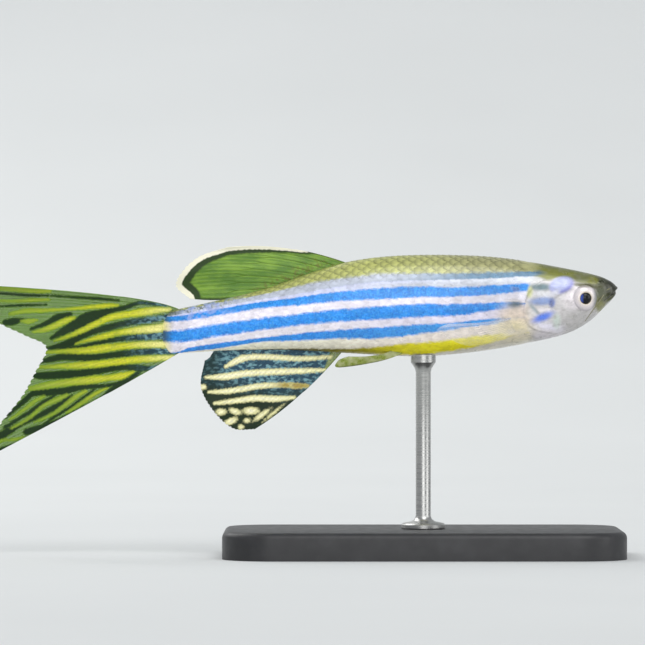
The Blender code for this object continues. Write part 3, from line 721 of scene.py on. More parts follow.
def body_finish(name):
    """The wet, pearly finish that the skin and the scales share."""
    made, tree, shader = finish(
        name, Metallic=0.16, Coat_Weight=0.4, Coat_Roughness=0.16, Specular_IOR_Level=0.5
    )
    grain = noise(tree, 0.16, 3.0, (0.6, 1, 1))
    cloud = noise(tree, 0.7, 2.0)
    band, station = attribute(tree, "band"), attribute(tree, "station")
    cover = attribute(tree, "cover")
    wobble = sums(tree, "ADD", swing(tree, grain, 0.34), swing(tree, cloud, 0.3))
    place = sums(tree, "DIVIDE", sums(tree, "ADD", band, wobble), float(BANDS))
    upper = ranged(tree, band, 3.0, 1.6)
    top_rear = sums(tree, "MULTIPLY", upper, ranged(tree, station, TOP_FRONT_END, TOP_REAR_START))
    rear = sums(tree, "MAXIMUM", top_rear, ranged(tree, station, FRONT_END, REAR_START))
    top_tail = sums(tree, "MULTIPLY", upper, ranged(tree, station, TOP_TAIL_FROM, TAIL_TO))
    tail = sums(tree, "MAXIMUM", top_tail, ranged(tree, station, TAIL_FROM, TAIL_TO))
    stripes = stripe_ramp(tree, place, FRONT_COLOURS)
    stripes = mix(tree, rear, stripes, stripe_ramp(tree, place, REAR_COLOURS))
    dusk = sums(tree, "MULTIPLY", attribute(tree, "edge"), ranged(tree, band, 1.9, 0.7, 0.0, 0.5))
    stripes = mix(tree, dusk, stripes, SCALE_RIM_TINT)
    parts = add(tree, "SeparateColor", {0: stripes})
    blueness = ranged(tree, sums(tree, "SUBTRACT", parts.outputs[2], parts.outputs[0]), 0.2, 0.6)
    fine = noise(tree, 0.15, 4.0)
    light = sums(tree, "MULTIPLY", blueness, ranged(tree, fine, 0.5, 0.68, 0.0, 0.42))
    dark = sums(tree, "MULTIPLY", blueness, ranged(tree, fine, 0.5, 0.34, 0.0, 0.5))
    stripes = mix(tree, dark, mix(tree, light, stripes, LIGHT_FLECK), DARK_FLECK)
    specks = sums(tree, "MULTIPLY", ranged(tree, station, 28.0, 35.0), upper)
    specks = sums(tree, "MULTIPLY", specks, ranged(tree, noise(tree, 0.2, 3.0), 0.46, 0.62, 0.0, 0.9))
    stripes = mix(tree, specks, stripes, BACK_SPECK)
    clouds = sums(tree, "MULTIPLY", ranged(tree, station, 29.0, 33.0), ranged(tree, band, 4.3, 3.7))
    clouds = sums(tree, "MULTIPLY", clouds, ranged(tree, station, 35.6, 34.2))
    clouds = sums(tree, "MULTIPLY", clouds, ranged(tree, noise(tree, 0.5, 3.0), 0.42, 0.6, 0.0, 0.75))
    stripes = mix(tree, clouds, stripes, TAIL_CLOUD)
    stripes = mix(tree, tail, stripes, stripe_ramp(tree, place, TAIL_COLOURS))
    painted = mix(tree, cover, stripes, attribute(tree, "paint", "Color"))
    mottle = ranged(tree, noise(tree, 0.42, 4.0), 0.45, 0.66, 0.0, 0.22)
    painted = mix(tree, sums(tree, "MULTIPLY", cover, mottle), painted, HEAD_MOTTLE)
    speckle = ranged(tree, noise(tree, 0.2, 4.0, (0.45, 1, 1)), 0.25, 0.75, 0.88, 1.1)
    # The tone dims the paint. It carries each scale's own tone and the painted shade behind the gill cover.
    shine = sums(tree, "MULTIPLY", speckle, attribute(tree, "tone"))
    tree.links.new(dimmed(tree, painted, shine), shader.inputs["Base Color"])
    tree.links.new(ranged(tree, cloud, 0.3, 0.7, 0.26, 0.42), shader.inputs["Roughness"])
    tree.links.new(bump(tree, grain, 0.006), shader.inputs["Normal"])
    return made


BODY_FINISH = body_finish("wet_pearly_skin")
print("made", BODY_FINISH.name)

# %% [markdown]
# ## The skin
#
# One unbroken skin stands for the head, jaw, gill covers, trunk and tail stalk, so no seam shows. It
# starts as a ball with many rings. One pole becomes the snout, the other the root of the tail, and
# each ring becomes one cross-section. The rings stand close on the head, where the small forms are,
# and wider apart behind it. On the trunk the skin lies a little under the solids, to leave room for
# the scales.
#
# The small forms are added as a height above the body's outline: the crease of the mouth with a lip on
# each side, two nostrils on each side, the hollow that the eye sits in, the raised rim of the gill
# cover, the folds and the middle groove of the throat, and the line of the cheek bone.

# %% Small forms of the head
EYE_STATION = 2.64
EYE_Z = 0.16
EYE_RADIUS = 1.04
EYE_DEPTH = 0.54
EYE_SINK = 0.21
MOUTH_TIP = (0.0, 0.78)
MOUTH_CORNER = (1.1, -0.14)
NOSTRILS = ((1.18, 46.0, 0.09), (1.42, 47.0, 0.12))
MOUTH_END = (-0.1, 0.12)
MOUTH_DEPTH, MOUTH_WIDTH = 0.13, 0.055
LIP_HEIGHT, LIP_GAP, LIP_WIDTH = 0.06, 0.16, 0.1
SOCKET_DEPTH, SOCKET_RADIUS = 0.36, (0.78, 0.92)
SOCKET_RIM_HEIGHT, SOCKET_RIM_RADIUS, SOCKET_RIM_WIDTH = 0.035, 1.0, 0.1
NOSTRIL_DEPTH, NOSTRIL_SHARES = 0.12, (0.5, 1.1)
NOSTRIL_RIM_HEIGHT, NOSTRIL_RIM_SHARE, NOSTRIL_RIM_WIDTH = 0.03, 1.35, 0.04
COVER_HEIGHT, COVER_FALL, COVER_STEP, COVER_STATIONS = 0.06, 0.9, (-0.08, 0.14), (4.8, 6.2)
CHEEK_LINE_DEPTH, CHEEK_LINE_WIDTH = 0.014, 0.14
THROAT_FOLDS = (157.0, 166.0)
FOLD_DEPTH, FOLD_WIDTH = 0.04, 1.6
KEEL_DEPTH, KEEL_WIDTH = 0.06, 0.09
THROAT_FRONT, THROAT_REAR = (2.4, 3.4), (6.2, 7.0)
SKIN_DEPTH, SKIN_SINKS = 0.05, (6.3, 7.9)
FAR_AWAY = 9.0


def eye_place(side):
    """Middle and outward direction of the eye on one side, +1 left or -1 right."""
    back, belly, _, widest = section(np.array(EYE_STATION))
    reach = back - widest if EYE_Z > widest else widest - belly
    turn = math.degrees(math.acos((EYE_Z - float(widest)) / float(reach)))
    return sunk_point(EYE_STATION, turn, side, EYE_SINK)


def axis_gap(points, centre, axis):
    """Distance from each point to a line through centre."""
    away = points - centre
    return np.linalg.norm(away - (away @ axis)[:, None] * axis, axis=1)


def head_relief(s, turn, points):
    """Height of the small forms above the body's outline, in mm."""
    z, side = points[:, 2], np.where(points[:, 1] < sway(s), -1, 1)
    slope = (MOUTH_CORNER[1] - MOUTH_TIP[1]) / (MOUTH_CORNER[0] - MOUTH_TIP[0])
    gap = (z - MOUTH_TIP[1] - slope * s) / math.hypot(1, slope)
    ends = 1 - smooth(s - MOUTH_CORNER[0], *MOUTH_END)
    lips = LIP_HEIGHT * hump(np.abs(gap) - LIP_GAP, LIP_WIDTH)
    height = ends * (lips - MOUTH_DEPTH * hump(gap, MOUTH_WIDTH))
    for hand in (1, -1):
        centre, axis = eye_place(hand)
        reach = np.where(side == hand, axis_gap(points, centre, axis), FAR_AWAY)
        height -= SOCKET_DEPTH * (1 - smooth(reach, *SOCKET_RADIUS))
        height += SOCKET_RIM_HEIGHT * hump(reach - SOCKET_RIM_RADIUS, SOCKET_RIM_WIDTH)
        for station, lie, radius in NOSTRILS:
            near = np.linalg.norm(points - sunk_point(station, lie, hand, 0.0)[0], axis=1)
            height -= NOSTRIL_DEPTH * (1 - smooth(near, *[share * radius for share in NOSTRIL_SHARES]))
            height += NOSTRIL_RIM_HEIGHT * hump(near - NOSTRIL_RIM_SHARE * radius, NOSTRIL_RIM_WIDTH)
    inside = gill_gap(s, turn)
    rim = COVER_HEIGHT * np.exp(-np.maximum(inside, 0) / COVER_FALL) * smooth(inside, *COVER_STEP)
    height += rim * smooth(s, *COVER_STATIONS)
    height -= CHEEK_LINE_DEPTH * hump(path_gap(s, z, GILL_LINE), CHEEK_LINE_WIDTH)
    throat = smooth(s, *THROAT_FRONT) * (1 - smooth(s, *THROAT_REAR))
    for lie in THROAT_FOLDS:
        height -= FOLD_DEPTH * throat * hump(fold(turn) - lie, FOLD_WIDTH)
    height -= KEEL_DEPTH * throat * hump(points[:, 1] - sway(s), KEEL_WIDTH) * (z < 0)
    return height - SKIN_DEPTH * smooth(s, *SKIN_SINKS)


print("the right eye sits at", np.round(eye_place(-1)[0], 2))

# %% Skin
SKIN_SIDES = 200
HEAD_STEP = 0.055
HEAD_LENGTH = 7.9
TRUNK_STEP = 0.21
SKIN_END = BODY_LENGTH + 0.6
END_ROUND = 0.7
FIRST_RING = 0.01
LAST_STEP = 0.05
FLESH_NODES = ("head", "lower_jaw", "gill_cover_left", "gill_cover_right", "trunk", "tail_stalk")

head_rings = FIRST_RING + np.arange(0, HEAD_LENGTH, HEAD_STEP)
trunk_rings = np.arange(HEAD_LENGTH, SKIN_END - 2 * LAST_STEP, TRUNK_STEP)
rings = np.concatenate([[0.0], head_rings, trunk_rings, [SKIN_END - LAST_STEP, SKIN_END]])

bpy.ops.mesh.primitive_uv_sphere_add(segments=SKIN_SIDES, ring_count=len(rings) - 1, radius=1)
skin = named("skin")
ball = places(skin)
ring = np.rint(np.arccos(np.clip(ball[:, 2], -1, 1)) / math.pi * (len(rings) - 1)).astype(int)
turn = np.degrees(np.arctan2(ball[:, 1], ball[:, 0])) % 360
station = rings[ring]
station = station - END_ROUND * smooth(station, TAIL_THIN_FROM, SKIN_END) * np.cos(np.radians(turn)) ** 2
outline = body_point(station, turn)
height = head_relief(station, turn, outline)
points = outline + body_normal(station, turn) * height[:, None]
tip = ring == 0
points[tip] = (0, 0, SNOUT_TIP_Z)
end = ring == len(rings) - 1
points[end] = (SKIN_END, sway(SKIN_END), sum(section(np.array(SKIN_END))[:2]) / 2)
put(skin, to_frame(points))
outwards(skin)
print("the skin has", len(skin.data.polygons), "faces")

# %% [markdown]
# The markings are kept on the skin's points: the band in the stripe pattern, the station, the colour
# of the head and how far it covers the stripes. The creases of the mouth and nostrils get painted
# shade, and a tone dims the stripes a little just behind the gill cover as painted shade. The scales
# get the same values from the same functions further on.

# %% Markings and painted shade on the skin
# Painted shade: how much darker the creases of the mouth and nostrils are painted.
CREASE_SHADE = 0.75
CREASE_HEIGHTS = (0.035, 0.11)
CREASED_TO = 1.7


def mark(obj, s, turn, z, tone=1.0, edge=0.0, crease=0.0):
    """Keeps the markings of the body on a piece, with painted shade in the creases and behind the gill
    cover.
    """
    paint, cover = head_paint(s, turn, z)
    # Painted shade darkens the head's colour in the creases.
    paint = paint * (1 - CREASE_SHADE * np.broadcast_to(crease, s.shape))[:, None]
    keep_value(obj, "band", band_at(s, z))
    keep_value(obj, "station", s)
    keep_value(obj, "cover", cover)
    # The tone also carries the painted shade just behind the gill cover.
    keep_value(obj, "tone", tone * (1 - SHADE_STRENGTH * oval(s, z, *SHADED_FLANK)))
    keep_value(obj, "edge", edge)
    keep_colour(obj, "paint", paint)


# How deep each point lies in a crease of the mouth or nostrils, for its painted shade.
crease = smooth(-height, *CREASE_HEIGHTS) * (station < CREASED_TO)
mark(skin, station, turn, points[:, 2], crease=crease)
dress(skin, BODY_FINISH)
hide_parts(*FLESH_NODES)
print("the skin carries", len(skin.data.attributes), "attributes")

# %% [markdown]
# ## The eyes
#
# The eye is large, with a flat silver iris round a black pupil. The lens of a fish bulges through the
# pupil. Each eye starts as a ball, pressed flat along its axis, with the middle of the front raised
# for the lens. Its finish reads three values kept on the points: the distance from the axis, and the
# height above the middle and the place behind it, because the iris has painted shade along its top and
# is grey in front, and a blue glint is painted on the pupil at the rear.

# %% Eye finish
PUPIL_RADIUS = 0.47
LENS_BULGE = 0.1
PUPIL_DIP = 0.05
DIP_WIDTH = 0.05
EYE_SIDES, EYE_STEPS = 64, 48
# Painted shade for the top of the iris, under the brow.
IRIS_TOP_SHADE = colour(104, 98, 60)
GREY_FRONT = colour(116, 120, 118)
IRIS_FLECK = colour(176, 168, 166)
# Painted reflection: the colour of the glint on the rear of the pupil.
PUPIL_GLINT_BLUE = colour(64, 92, 190)
EYE_RINGS = (
    (0.0, (3, 4, 7)), (0.4, (5, 6, 12)), (0.435, (34, 30, 28)), (0.465, (150, 132, 96)),
    (0.5, (228, 218, 208)), (0.72, (228, 219, 220)), (0.9, (224, 217, 220)), (0.99, (206, 200, 203)),
)

eye_finish, tree, shader = finish(
    "silver_eye", Coat_Weight=0.3, Coat_Roughness=0.03, Specular_IOR_Level=0.2, Roughness=0.3
)
reach = sums(tree, "ADD", attribute(tree, "reach"), swing(tree, noise(tree, 0.12, 3.0), 0.05))
ringed = ramp(tree, reach, EYE_RINGS)
# Painted shade darkens the top of the iris.
iris = mix(tree, ranged(tree, attribute(tree, "rise"), 0.72, 0.95, 0.0, 0.6), ringed, IRIS_TOP_SHADE)
iris = mix(tree, ranged(tree, attribute(tree, "aft"), -0.5, -0.95, 0.0, 0.85), iris, GREY_FRONT)
flecks = mix(tree, ranged(tree, noise(tree, 0.09, 4.0), 0.52, 0.7, 0.0, 0.35), iris, IRIS_FLECK)
pupil = ranged(tree, attribute(tree, "reach"), 0.42, 0.48)
within = sums(tree, "SUBTRACT", 1.0, pupil)
# Painted reflection: a blue glint on the rear of the pupil.
glint = sums(tree, "MULTIPLY", ranged(tree, attribute(tree, "aft"), 0.04, 0.3), within)
lit = mix(tree, glint, ringed, PUPIL_GLINT_BLUE)
tree.links.new(mix(tree, pupil, lit, flecks), shader.inputs["Base Color"])
tree.links.new(ranged(tree, pupil, 0.0, 1.0, 0.0, 0.16), shader.inputs["Metallic"])
print("made", eye_finish.name)

# %% Eyes
for hand, name in ((1, "eye_left"), (-1, "eye_right")):
    centre, axis = eye_place(hand)
    aim = Vector((-axis[0], axis[1], axis[2])).to_track_quat("Z", "Y")
    bpy.ops.mesh.primitive_uv_sphere_add(segments=EYE_SIDES, ring_count=EYE_STEPS, radius=1)
    eye = named(name + "_ball")
    ball = places(eye)
    reach = np.hypot(ball[:, 0], ball[:, 1]) * EYE_RADIUS
    depth = ball[:, 2] * EYE_DEPTH
    front = ball[:, 2] > 0
    lens = LENS_BULGE * (1 - np.clip(reach / PUPIL_RADIUS, 0, 1) ** 2)
    dip = PUPIL_DIP * hump(reach - PUPIL_RADIUS, DIP_WIDTH)
    ball = np.stack([ball[:, 0] * EYE_RADIUS, ball[:, 1] * EYE_RADIUS, depth + front * (lens - dip)], axis=1)
    put(eye, ball * MM)
    eye.location = to_frame(centre)
    eye.rotation_mode = "QUATERNION"
    eye.rotation_quaternion = aim
    apply_all(eye)
    keep_value(eye, "reach", reach)
    keep_value(eye, "rise", to_fish(places(eye))[:, 2] - centre[2])
    keep_value(eye, "aft", to_fish(places(eye))[:, 0] - centre[0])
    dress(eye, eye_finish)
    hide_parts(name)
    print(name, "bulges to y", round(float(np.abs(to_fish(places(eye))[:, 1]).max()), 2), "mm")

# %% [markdown]
# ## The scales
#
# Seventy staggered columns of scales follow each other from the gill cover to the tail. The scales
# overlap like roof tiles, each rear rim lying over the next. One scale is modelled flat: a small grid,
# rounded into a fan and given a thickness. Every scale on the fish is a copy of it, bent onto the body
# by the same formula as the skin. The front of each copy sinks into the skin and its rear rim stands
# proud of it. The copies share one mesh. Its UV map lays a tiny patch for each scale at its root's
# place on the unwrapped body.

# %% One scale
SCALE_CELLS = (5, 4)
SCALE_THICK = 0.016
SCALE_ROOT = -0.062
SCALE_RIM = 0.008
FAN_ROOT = 0.82
FAN_FLARE = 0.36
FAN_WIDEST = 0.5
FAN_ROUND = 0.56

bpy.ops.mesh.primitive_grid_add(x_subdivisions=SCALE_CELLS[0], y_subdivisions=SCALE_CELLS[1], size=2)
scale = named("one_scale")
flat = places(scale)
run, across = (flat[:, 0] + 1) / 2, flat[:, 1]
rounding = np.sqrt(np.maximum(1 - ((run - FAN_WIDEST) / FAN_ROUND) ** 2, 0))
fan = np.where(run < FAN_WIDEST, FAN_ROOT + FAN_FLARE * run, rounding)
flat = np.stack([run, across * fan, np.zeros(len(flat))], axis=1)
put(scale, flat)
wall = scale.modifiers.new("thickness", "SOLIDIFY")
wall.thickness = 1.0
wall.offset = -1.0
apply_all(scale)
outwards(scale)
template = places(scale)
template_faces = [tuple(face.vertices) for face in scale.data.polygons]
bpy.data.objects.remove(scale)
print("one scale has", len(template_faces), "faces")

# %% Where the scales sit
ROWS = 12
FIRST_COLUMN, LAST_COLUMN = 6.3, 34.7
COLUMN_STEP = ((6.0, 0.92), (20.0, 0.9), (30.0, 0.7), (36.0, 0.55))
OVERLAP = 1.8
SCALE_HALF = 0.62
BARE_TO = ((0, 6.3), (45, 6.2), (62, 6.9), (90, 7.42), (125, 7.22), (150, 6.3), (180, 6.0))
STAGGER = 0.5
ROW_SHIFT = 0.25
TONE_SPREAD = 0.09
GIRTH_STEPS = 121


def turn_at(s, share):
    """The turn at each share of the half girth, -1 to 1, from the back to the belly."""
    turns = np.linspace(0, 180, GIRTH_STEPS)
    ring = body_point(np.asarray(s)[:, None], turns[None, :])
    steps = np.linalg.norm(np.diff(ring, axis=1), axis=2)
    reach = np.concatenate([np.zeros((len(ring), 1)), np.cumsum(steps, axis=1)], axis=1)
    reach /= reach[:, -1:]
    found = np.array([np.interp(abs(q), row, turns) for q, row in zip(share, reach)])
    return np.where(share < 0, 360 - found, found) % 360


roots = []
column, at = 0, FIRST_COLUMN
while at < LAST_COLUMN:
    for row in range(-ROWS, ROWS):
        roots.append((at, (row + STAGGER * (column % 2) + ROW_SHIFT) / ROWS))
    at += STAGGER * float(curve_at(COLUMN_STEP, at))
    column += 1
roots = np.array(roots)
lie = fold(turn_at(roots[:, 0], roots[:, 1]))
roots = roots[roots[:, 0] > curve_at(BARE_TO, lie)]
print(len(roots), "scales in", column, "columns")

# %% Scales
SEED = 7
LENGTH_SPREAD = (0.96, 1.04)
SCALE_DIP = 0.012
SCALE_RISE = 0.8
RIM_MIDDLE = 0.45
RIM_NARROW = 0.6
RIM_SHARES = (0.72, 1.0)

rng = np.random.default_rng(SEED)
step = curve_at(COLUMN_STEP, roots[:, 0])
local_run = template[None, :, 0] * (OVERLAP * step)[:, None] * rng.uniform(*LENGTH_SPREAD, (len(roots), 1))
s = roots[:, :1] + local_run
share = roots[:, 1:] + template[None, :, 1] * SCALE_HALF / ROWS
share = np.mod(share + 1, 2) - 1
under = template[None, :, 2] < -0.5
along = np.clip(template[None, :, 0], 0, 1)
lift = SCALE_ROOT + (SCALE_RIM - SCALE_ROOT) * along**SCALE_RISE - SCALE_THICK * under
lift = lift - SCALE_DIP * template[None, :, 1] ** 2 + np.zeros_like(s)
s, share, lift = np.clip(s, 0, SKIN_END - LAST_STEP).ravel(), share.ravel(), lift.ravel()
turn = turn_at(s, share)
points = body_point(s, turn) + body_normal(s, turn) * lift[:, None]

count = len(template)
faces = [tuple(i + k * count for i in face) for k in range(len(roots)) for face in template_faces]
mesh = bpy.data.meshes.new("scales")
mesh.from_pydata(to_frame(points).tolist(), [], faces)
scales = bpy.data.objects.new("scales", mesh)
bpy.context.scene.collection.objects.link(scales)
outwards(scales)
tone = np.repeat(1 + TONE_SPREAD * rng.uniform(-1, 1, len(roots)), count)
from_middle = np.hypot(template[:, 0] - RIM_MIDDLE, template[:, 1] * RIM_NARROW) / (1 - RIM_MIDDLE)
rim = np.tile(smooth(from_middle, *RIM_SHARES), len(roots))
mark(scales, s, turn, body_point(s, turn)[:, 2], tone=tone, edge=rim)
print("the scales have", len(mesh.polygons), "faces")

# %% The scales' own UV map
PATCH = 0.003
MARGIN = 0.01

layer = mesh.uv_layers.new(name="OFBake")
corner_points = np.empty(len(mesh.loops), dtype=int)
mesh.loops.foreach_get("vertex_index", corner_points)
home = np.repeat(np.stack([roots[:, 0] / BODY_LENGTH, (roots[:, 1] + 1) / 2], axis=1), count, axis=0)
patch = np.tile((template[:, :2] * (1, 0.5) - (0.5, 0)) * PATCH, (len(roots), 1))
uv = np.clip(MARGIN + (1 - 2 * MARGIN) * home, PATCH, 1 - PATCH) + patch
layer.data.foreach_set("uv", uv[corner_points].ravel())
dress(scales, BODY_FINISH)
print("unwrapped", len(roots), "patches")

# %% [markdown]
# ## Fins: a sheet and its rays
#
# A fin is a thin sheet held open by rays that split in two towards its rim. A ray's place is called v,
# 0 at the front of the fin and 1 at the back, and the way along it u, 0 at the root and 1 at the tip.
# For each fin one function gives the point for any v and u. The sheet is a grid put on that function
# and thickened. The rays are curves along it, thick at the root and hair-thin at the tip. The sheet
# keeps a phase that counts the rays, so that its finish can run in faint streaks with them.

# %% Fin helpers
SHEET_THICK = 0.05
RAY_ROOT = 0.055
RAY_TIP = 0.022
RAY_POINTS = 14
SCALLOP = 0.012
FORK_RUN = 0.1
FORK_POINTS = 6
JOIN = 0.01
EDGE_SLACK = 1e-6
FORK_SPREAD = 0.25
TAPER = 0.6


def bent(root, middle, tip, u):
    """Points at share u of a bent ray."""
    u = np.asarray(u)[..., None]
    return root * (1 - u) ** 2 + middle * (2 * u * (1 - u)) + tip * u**2


def column_of(*parts):
    """Stations, y and z as rows of points."""
    return np.stack(np.broadcast_arrays(*[np.asarray(p, float) for p in parts]), axis=-1)


def fin_sheet(name, ray, rays, cells):
    """The skin of a fin, its rim dipping a little between the rays."""
    bpy.ops.mesh.primitive_grid_add(x_subdivisions=cells[0], y_subdivisions=cells[1], size=1)
    sheet = named(name)
    grid = places(sheet)
    v, u = grid[:, 0] + 0.5, grid[:, 1] + 0.5
    dip = 1 - SCALLOP * (1 - np.abs(np.cos(math.pi * v * (rays - 1) * 2)))
    put(sheet, to_frame(ray(v, u * dip)))
    keep_value(sheet, "phase", v * (rays - 1))
    wall = sheet.modifiers.new("thickness", "SOLIDIFY")
    wall.thickness = SHEET_THICK * MM
    wall.offset = 0
    apply_all(sheet)
    outwards(sheet)
    return sheet


def new_tubes(name, roundness):
    """An empty curve that draws a closed tube round each line in it."""
    lines = bpy.data.curves.new(name, "CURVE")
    lines.dimensions = "3D"
    lines.bevel_depth = MM
    lines.bevel_resolution = roundness
    lines.use_fill_caps = True
    return lines


def add_tube(lines, points, radii):
    """One tube along a row of points, with a radius in mm at each."""
    points = to_frame(points)
    line = lines.splines.new("POLY")
    line.points.add(len(points) - 1)
    line.points.foreach_set("co", np.concatenate([points, np.ones((len(points), 1))], axis=1).ravel())
    line.points.foreach_set("radius", np.ravel(radii))


def tubes_mesh(lines):
    """The tubes as one mesh."""
    made = bpy.data.objects.new(lines.name, lines)
    bpy.context.scene.collection.objects.link(made)
    only(made)
    bpy.ops.object.convert(target="MESH")
    outwards(bpy.context.object)
    return bpy.context.object


def add_branch(lines, ray, v, u, root):
    """A stretch of a ray through the points at v and u, if it ends on the fin."""
    if -EDGE_SLACK <= v[-1] <= 1 + EDGE_SLACK:
        add_tube(lines, ray(np.clip(v, 0, 1), u), root + (RAY_TIP - root) * u**TAPER)


def fin_rays(name, ray, rays, forks=(0.42, 0.72), root=RAY_ROOT):
    """The rays of a fin as one mesh. Each splits into two finer ones at every fork."""
    lines = new_tubes(name, 1)
    gap = 1 / (rays - 1)
    t = np.linspace(0, 1, FORK_POINTS)
    for k in range(rays):
        branches = [k * gap]
        for level, (start, end) in enumerate(zip((0.0, *forks), (*forks, 1.0))):
            first = start + FORK_RUN if level else start
            u = np.linspace(first, min(end + JOIN, 1.0), RAY_POINTS)
            for v in branches:
                add_branch(lines, ray, np.full(RAY_POINTS, v), u, root)
            if level == len(forks):
                break
            spread = gap * FORK_SPREAD / 2**level
            pairs = [(v, v + hand * spread) for v in branches for hand in (-1, 1)]
            for v, target in pairs:
                path = v + (target - v) * t * t * (3 - 2 * t)
                add_branch(lines, ray, path, end + (FORK_RUN + JOIN) * t, root)
            branches = [target for _, target in pairs]
    return tubes_mesh(lines)


print("rays are", 2 * RAY_ROOT, "mm thick at the root")

# %% [markdown]
# ## Fin finishes
#
# The fins are clear sheets with pigment in them, so the finish is partly see-through where there is
# little pigment. The tail and the fin under it are striped. A stripe is a smooth line with a width at
# every point, and a spot is an oval. Every point of the fin keeps its distance to the nearest pale
# stripe and to the nearest dark one, and the finish turns these distances into crisp, ragged rims. A
# pale stripe is lighter along its middle, and takes the far tint at its rims and where the fin says so.

# %% Striped fin finish
SLOPE_STEP = 0.05
RIM_BLUR = (-0.09, 0.1)
BLUE_SPECK = colour(140, 190, 196)
FIN_GLOSS = {"Roughness": 0.45, "Coat_Weight": 0.12, "Coat_Roughness": 0.2, "Specular_IOR_Level": 0.25}


def stripe_gap(s, z, stripe):
    """Distance to a smooth stripe with round ends, given as (station, level, half width) rows."""
    line = [row[:2] for row in stripe]
    near = np.clip(s, stripe[0][0], stripe[-1][0])
    slope = (curve_at(line, near + SLOPE_STEP) - curve_at(line, near - SLOPE_STEP)) / (2 * SLOPE_STEP)
    off = (z - curve_at(line, near)) / np.hypot(1, slope)
    return np.hypot(off, s - near) - curve_at([(row[0], row[2]) for row in stripe], near)


def spot_gap(s, z, spot):
    """Distance to an oval, given as station, level, half length, half height and tilt."""
    place, level, length, height, tilt = spot
    along, up = tilted(s, z, place, level, tilt)
    return (np.hypot(along / length, up / height) - 1) * min(length, height)


def nearest_gap(s, z, stripes, spots=()):
    """Distance to the nearest of several stripes and spots."""
    gaps = [stripe_gap(s, z, stripe) for stripe in stripes] + [spot_gap(s, z, spot) for spot in spots]
    return np.min(gaps, axis=0)


def crisp(tree, name, ragged):
    """1 inside the stripes whose distance an attribute keeps, 0 outside."""
    gap = sums(tree, "ADD", attribute(tree, name), ragged)
    return sums(tree, "SUBTRACT", 1.0, ranged(tree, gap, *RIM_BLUR))


def ray_streak(tree):
    """A wave from -1 to 1 that runs with the rays, one for each branch."""
    angle = sums(tree, "MULTIPLY", attribute(tree, "phase"), 4 * math.pi)
    return add(tree, "Math", {0: angle}, operation="SINE").outputs[0]


def striped_finish(name, pale, warm, far, core_tint, dark, deep, clear, clear_deep):
    """Pale and dark stripes on a clear sheet.

    Warm, far and deep are the tints where those values are 1, and a pale stripe's middle has a tint too.
    """
    made, tree, shader = finish(name, **FIN_GLOSS)
    grain = noise(tree, 0.16, 3.0)
    ragged = swing(tree, grain, 0.3)
    pale_gap, warmth = attribute(tree, "pale_gap"), attribute(tree, "warm")
    pale_share = crisp(tree, "pale_gap", ragged)
    dark_share = crisp(tree, "dark_gap", sums(tree, "MULTIPLY", ragged, -1.0))
    depth = attribute(tree, "deep")
    specks = ranged(tree, noise(tree, 0.24, 3.0, (0.6, 1, 1)), 0.44, 0.66, 0.0, 0.62)
    specks = sums(tree, "MULTIPLY", specks, sums(tree, "SUBTRACT", 1.0, depth))
    shade = mix(tree, specks, mix(tree, depth, colour(*dark), colour(*deep)), BLUE_SPECK)
    light = mix(tree, warmth, colour(*pale), colour(*warm))
    light = mix(tree, attribute(tree, "far"), light, colour(*far))
    light = mix(tree, ranged(tree, noise(tree, 0.45, 3.0), 0.5, 0.72, 0.0, 0.5), light, colour(*far))
    light = mix(tree, ranged(tree, pale_gap, -0.2, 0.02, 0.0, 0.55), light, colour(*far))
    core = ranged(tree, sums(tree, "ADD", pale_gap, ragged), -0.08, -0.26, 0.0, 0.5)
    plain = sums(tree, "SUBTRACT", 1.0, sums(tree, "MULTIPLY", warmth, 0.75))
    light = mix(tree, sums(tree, "MULTIPLY", core, plain), light, colour(*core_tint))
    sheet = mix(tree, depth, colour(*clear), colour(*clear_deep))
    tint = mix(tree, pale_share, mix(tree, dark_share, sheet, shade), light)
    grainy = ranged(tree, grain, 0.3, 0.7, 0.84, 1.12)
    mottle = sums(tree, "ADD", sums(tree, "MULTIPLY", ray_streak(tree), 0.07), grainy)
    tree.links.new(dimmed(tree, tint, mottle), shader.inputs["Base Color"])
    pigment = sums(tree, "MULTIPLY", sums(tree, "MAXIMUM", pale_share, dark_share), attribute(tree, "fade"))
    tree.links.new(ranged(tree, pigment, 0.0, 1.0, 0.66, 1.0), shader.inputs["Alpha"])
    tree.links.new(bump(tree, grain, 0.004), shader.inputs["Normal"])
    return made


def mark_stripes(obj, **values):
    """Keeps each named value, given as a function of station and level."""
    s, _, z = to_fish(places(obj)).T
    for name, value in values.items():
        keep_value(obj, name, value(s, z))


TAIL_FINISH = striped_finish(
    "striped_tail", pale=(244, 238, 160), warm=(198, 200, 24), far=(132, 158, 40), core_tint=(246, 238, 136),
    dark=(24, 62, 80), deep=(16, 46, 4), clear=(100, 134, 30), clear_deep=(96, 138, 20),
)
ANAL_FINISH = striped_finish(
    "striped_anal_fin", pale=(244, 238, 184), warm=(156, 130, 14), far=(216, 212, 146),
    core_tint=(252, 248, 226), dark=(24, 66, 86), deep=(12, 36, 8), clear=(120, 140, 40),
    clear_deep=(96, 116, 36),
)
print("made", TAIL_FINISH.name, "and", ANAL_FINISH.name)

# %% [markdown]
# ## The tail fin
#
# The tail fin is one sheet from the root to a deep fork, with nineteen main rays. Its rim is a curve
# through the two long tips and the fork. Cream bands start in line with the white of the body and turn
# yellow outwards, with dark green between them. In the upper lobe they slant down across the rays, and
# in the lower lobe they fan out with them. Between the bands the fin is a clear olive.

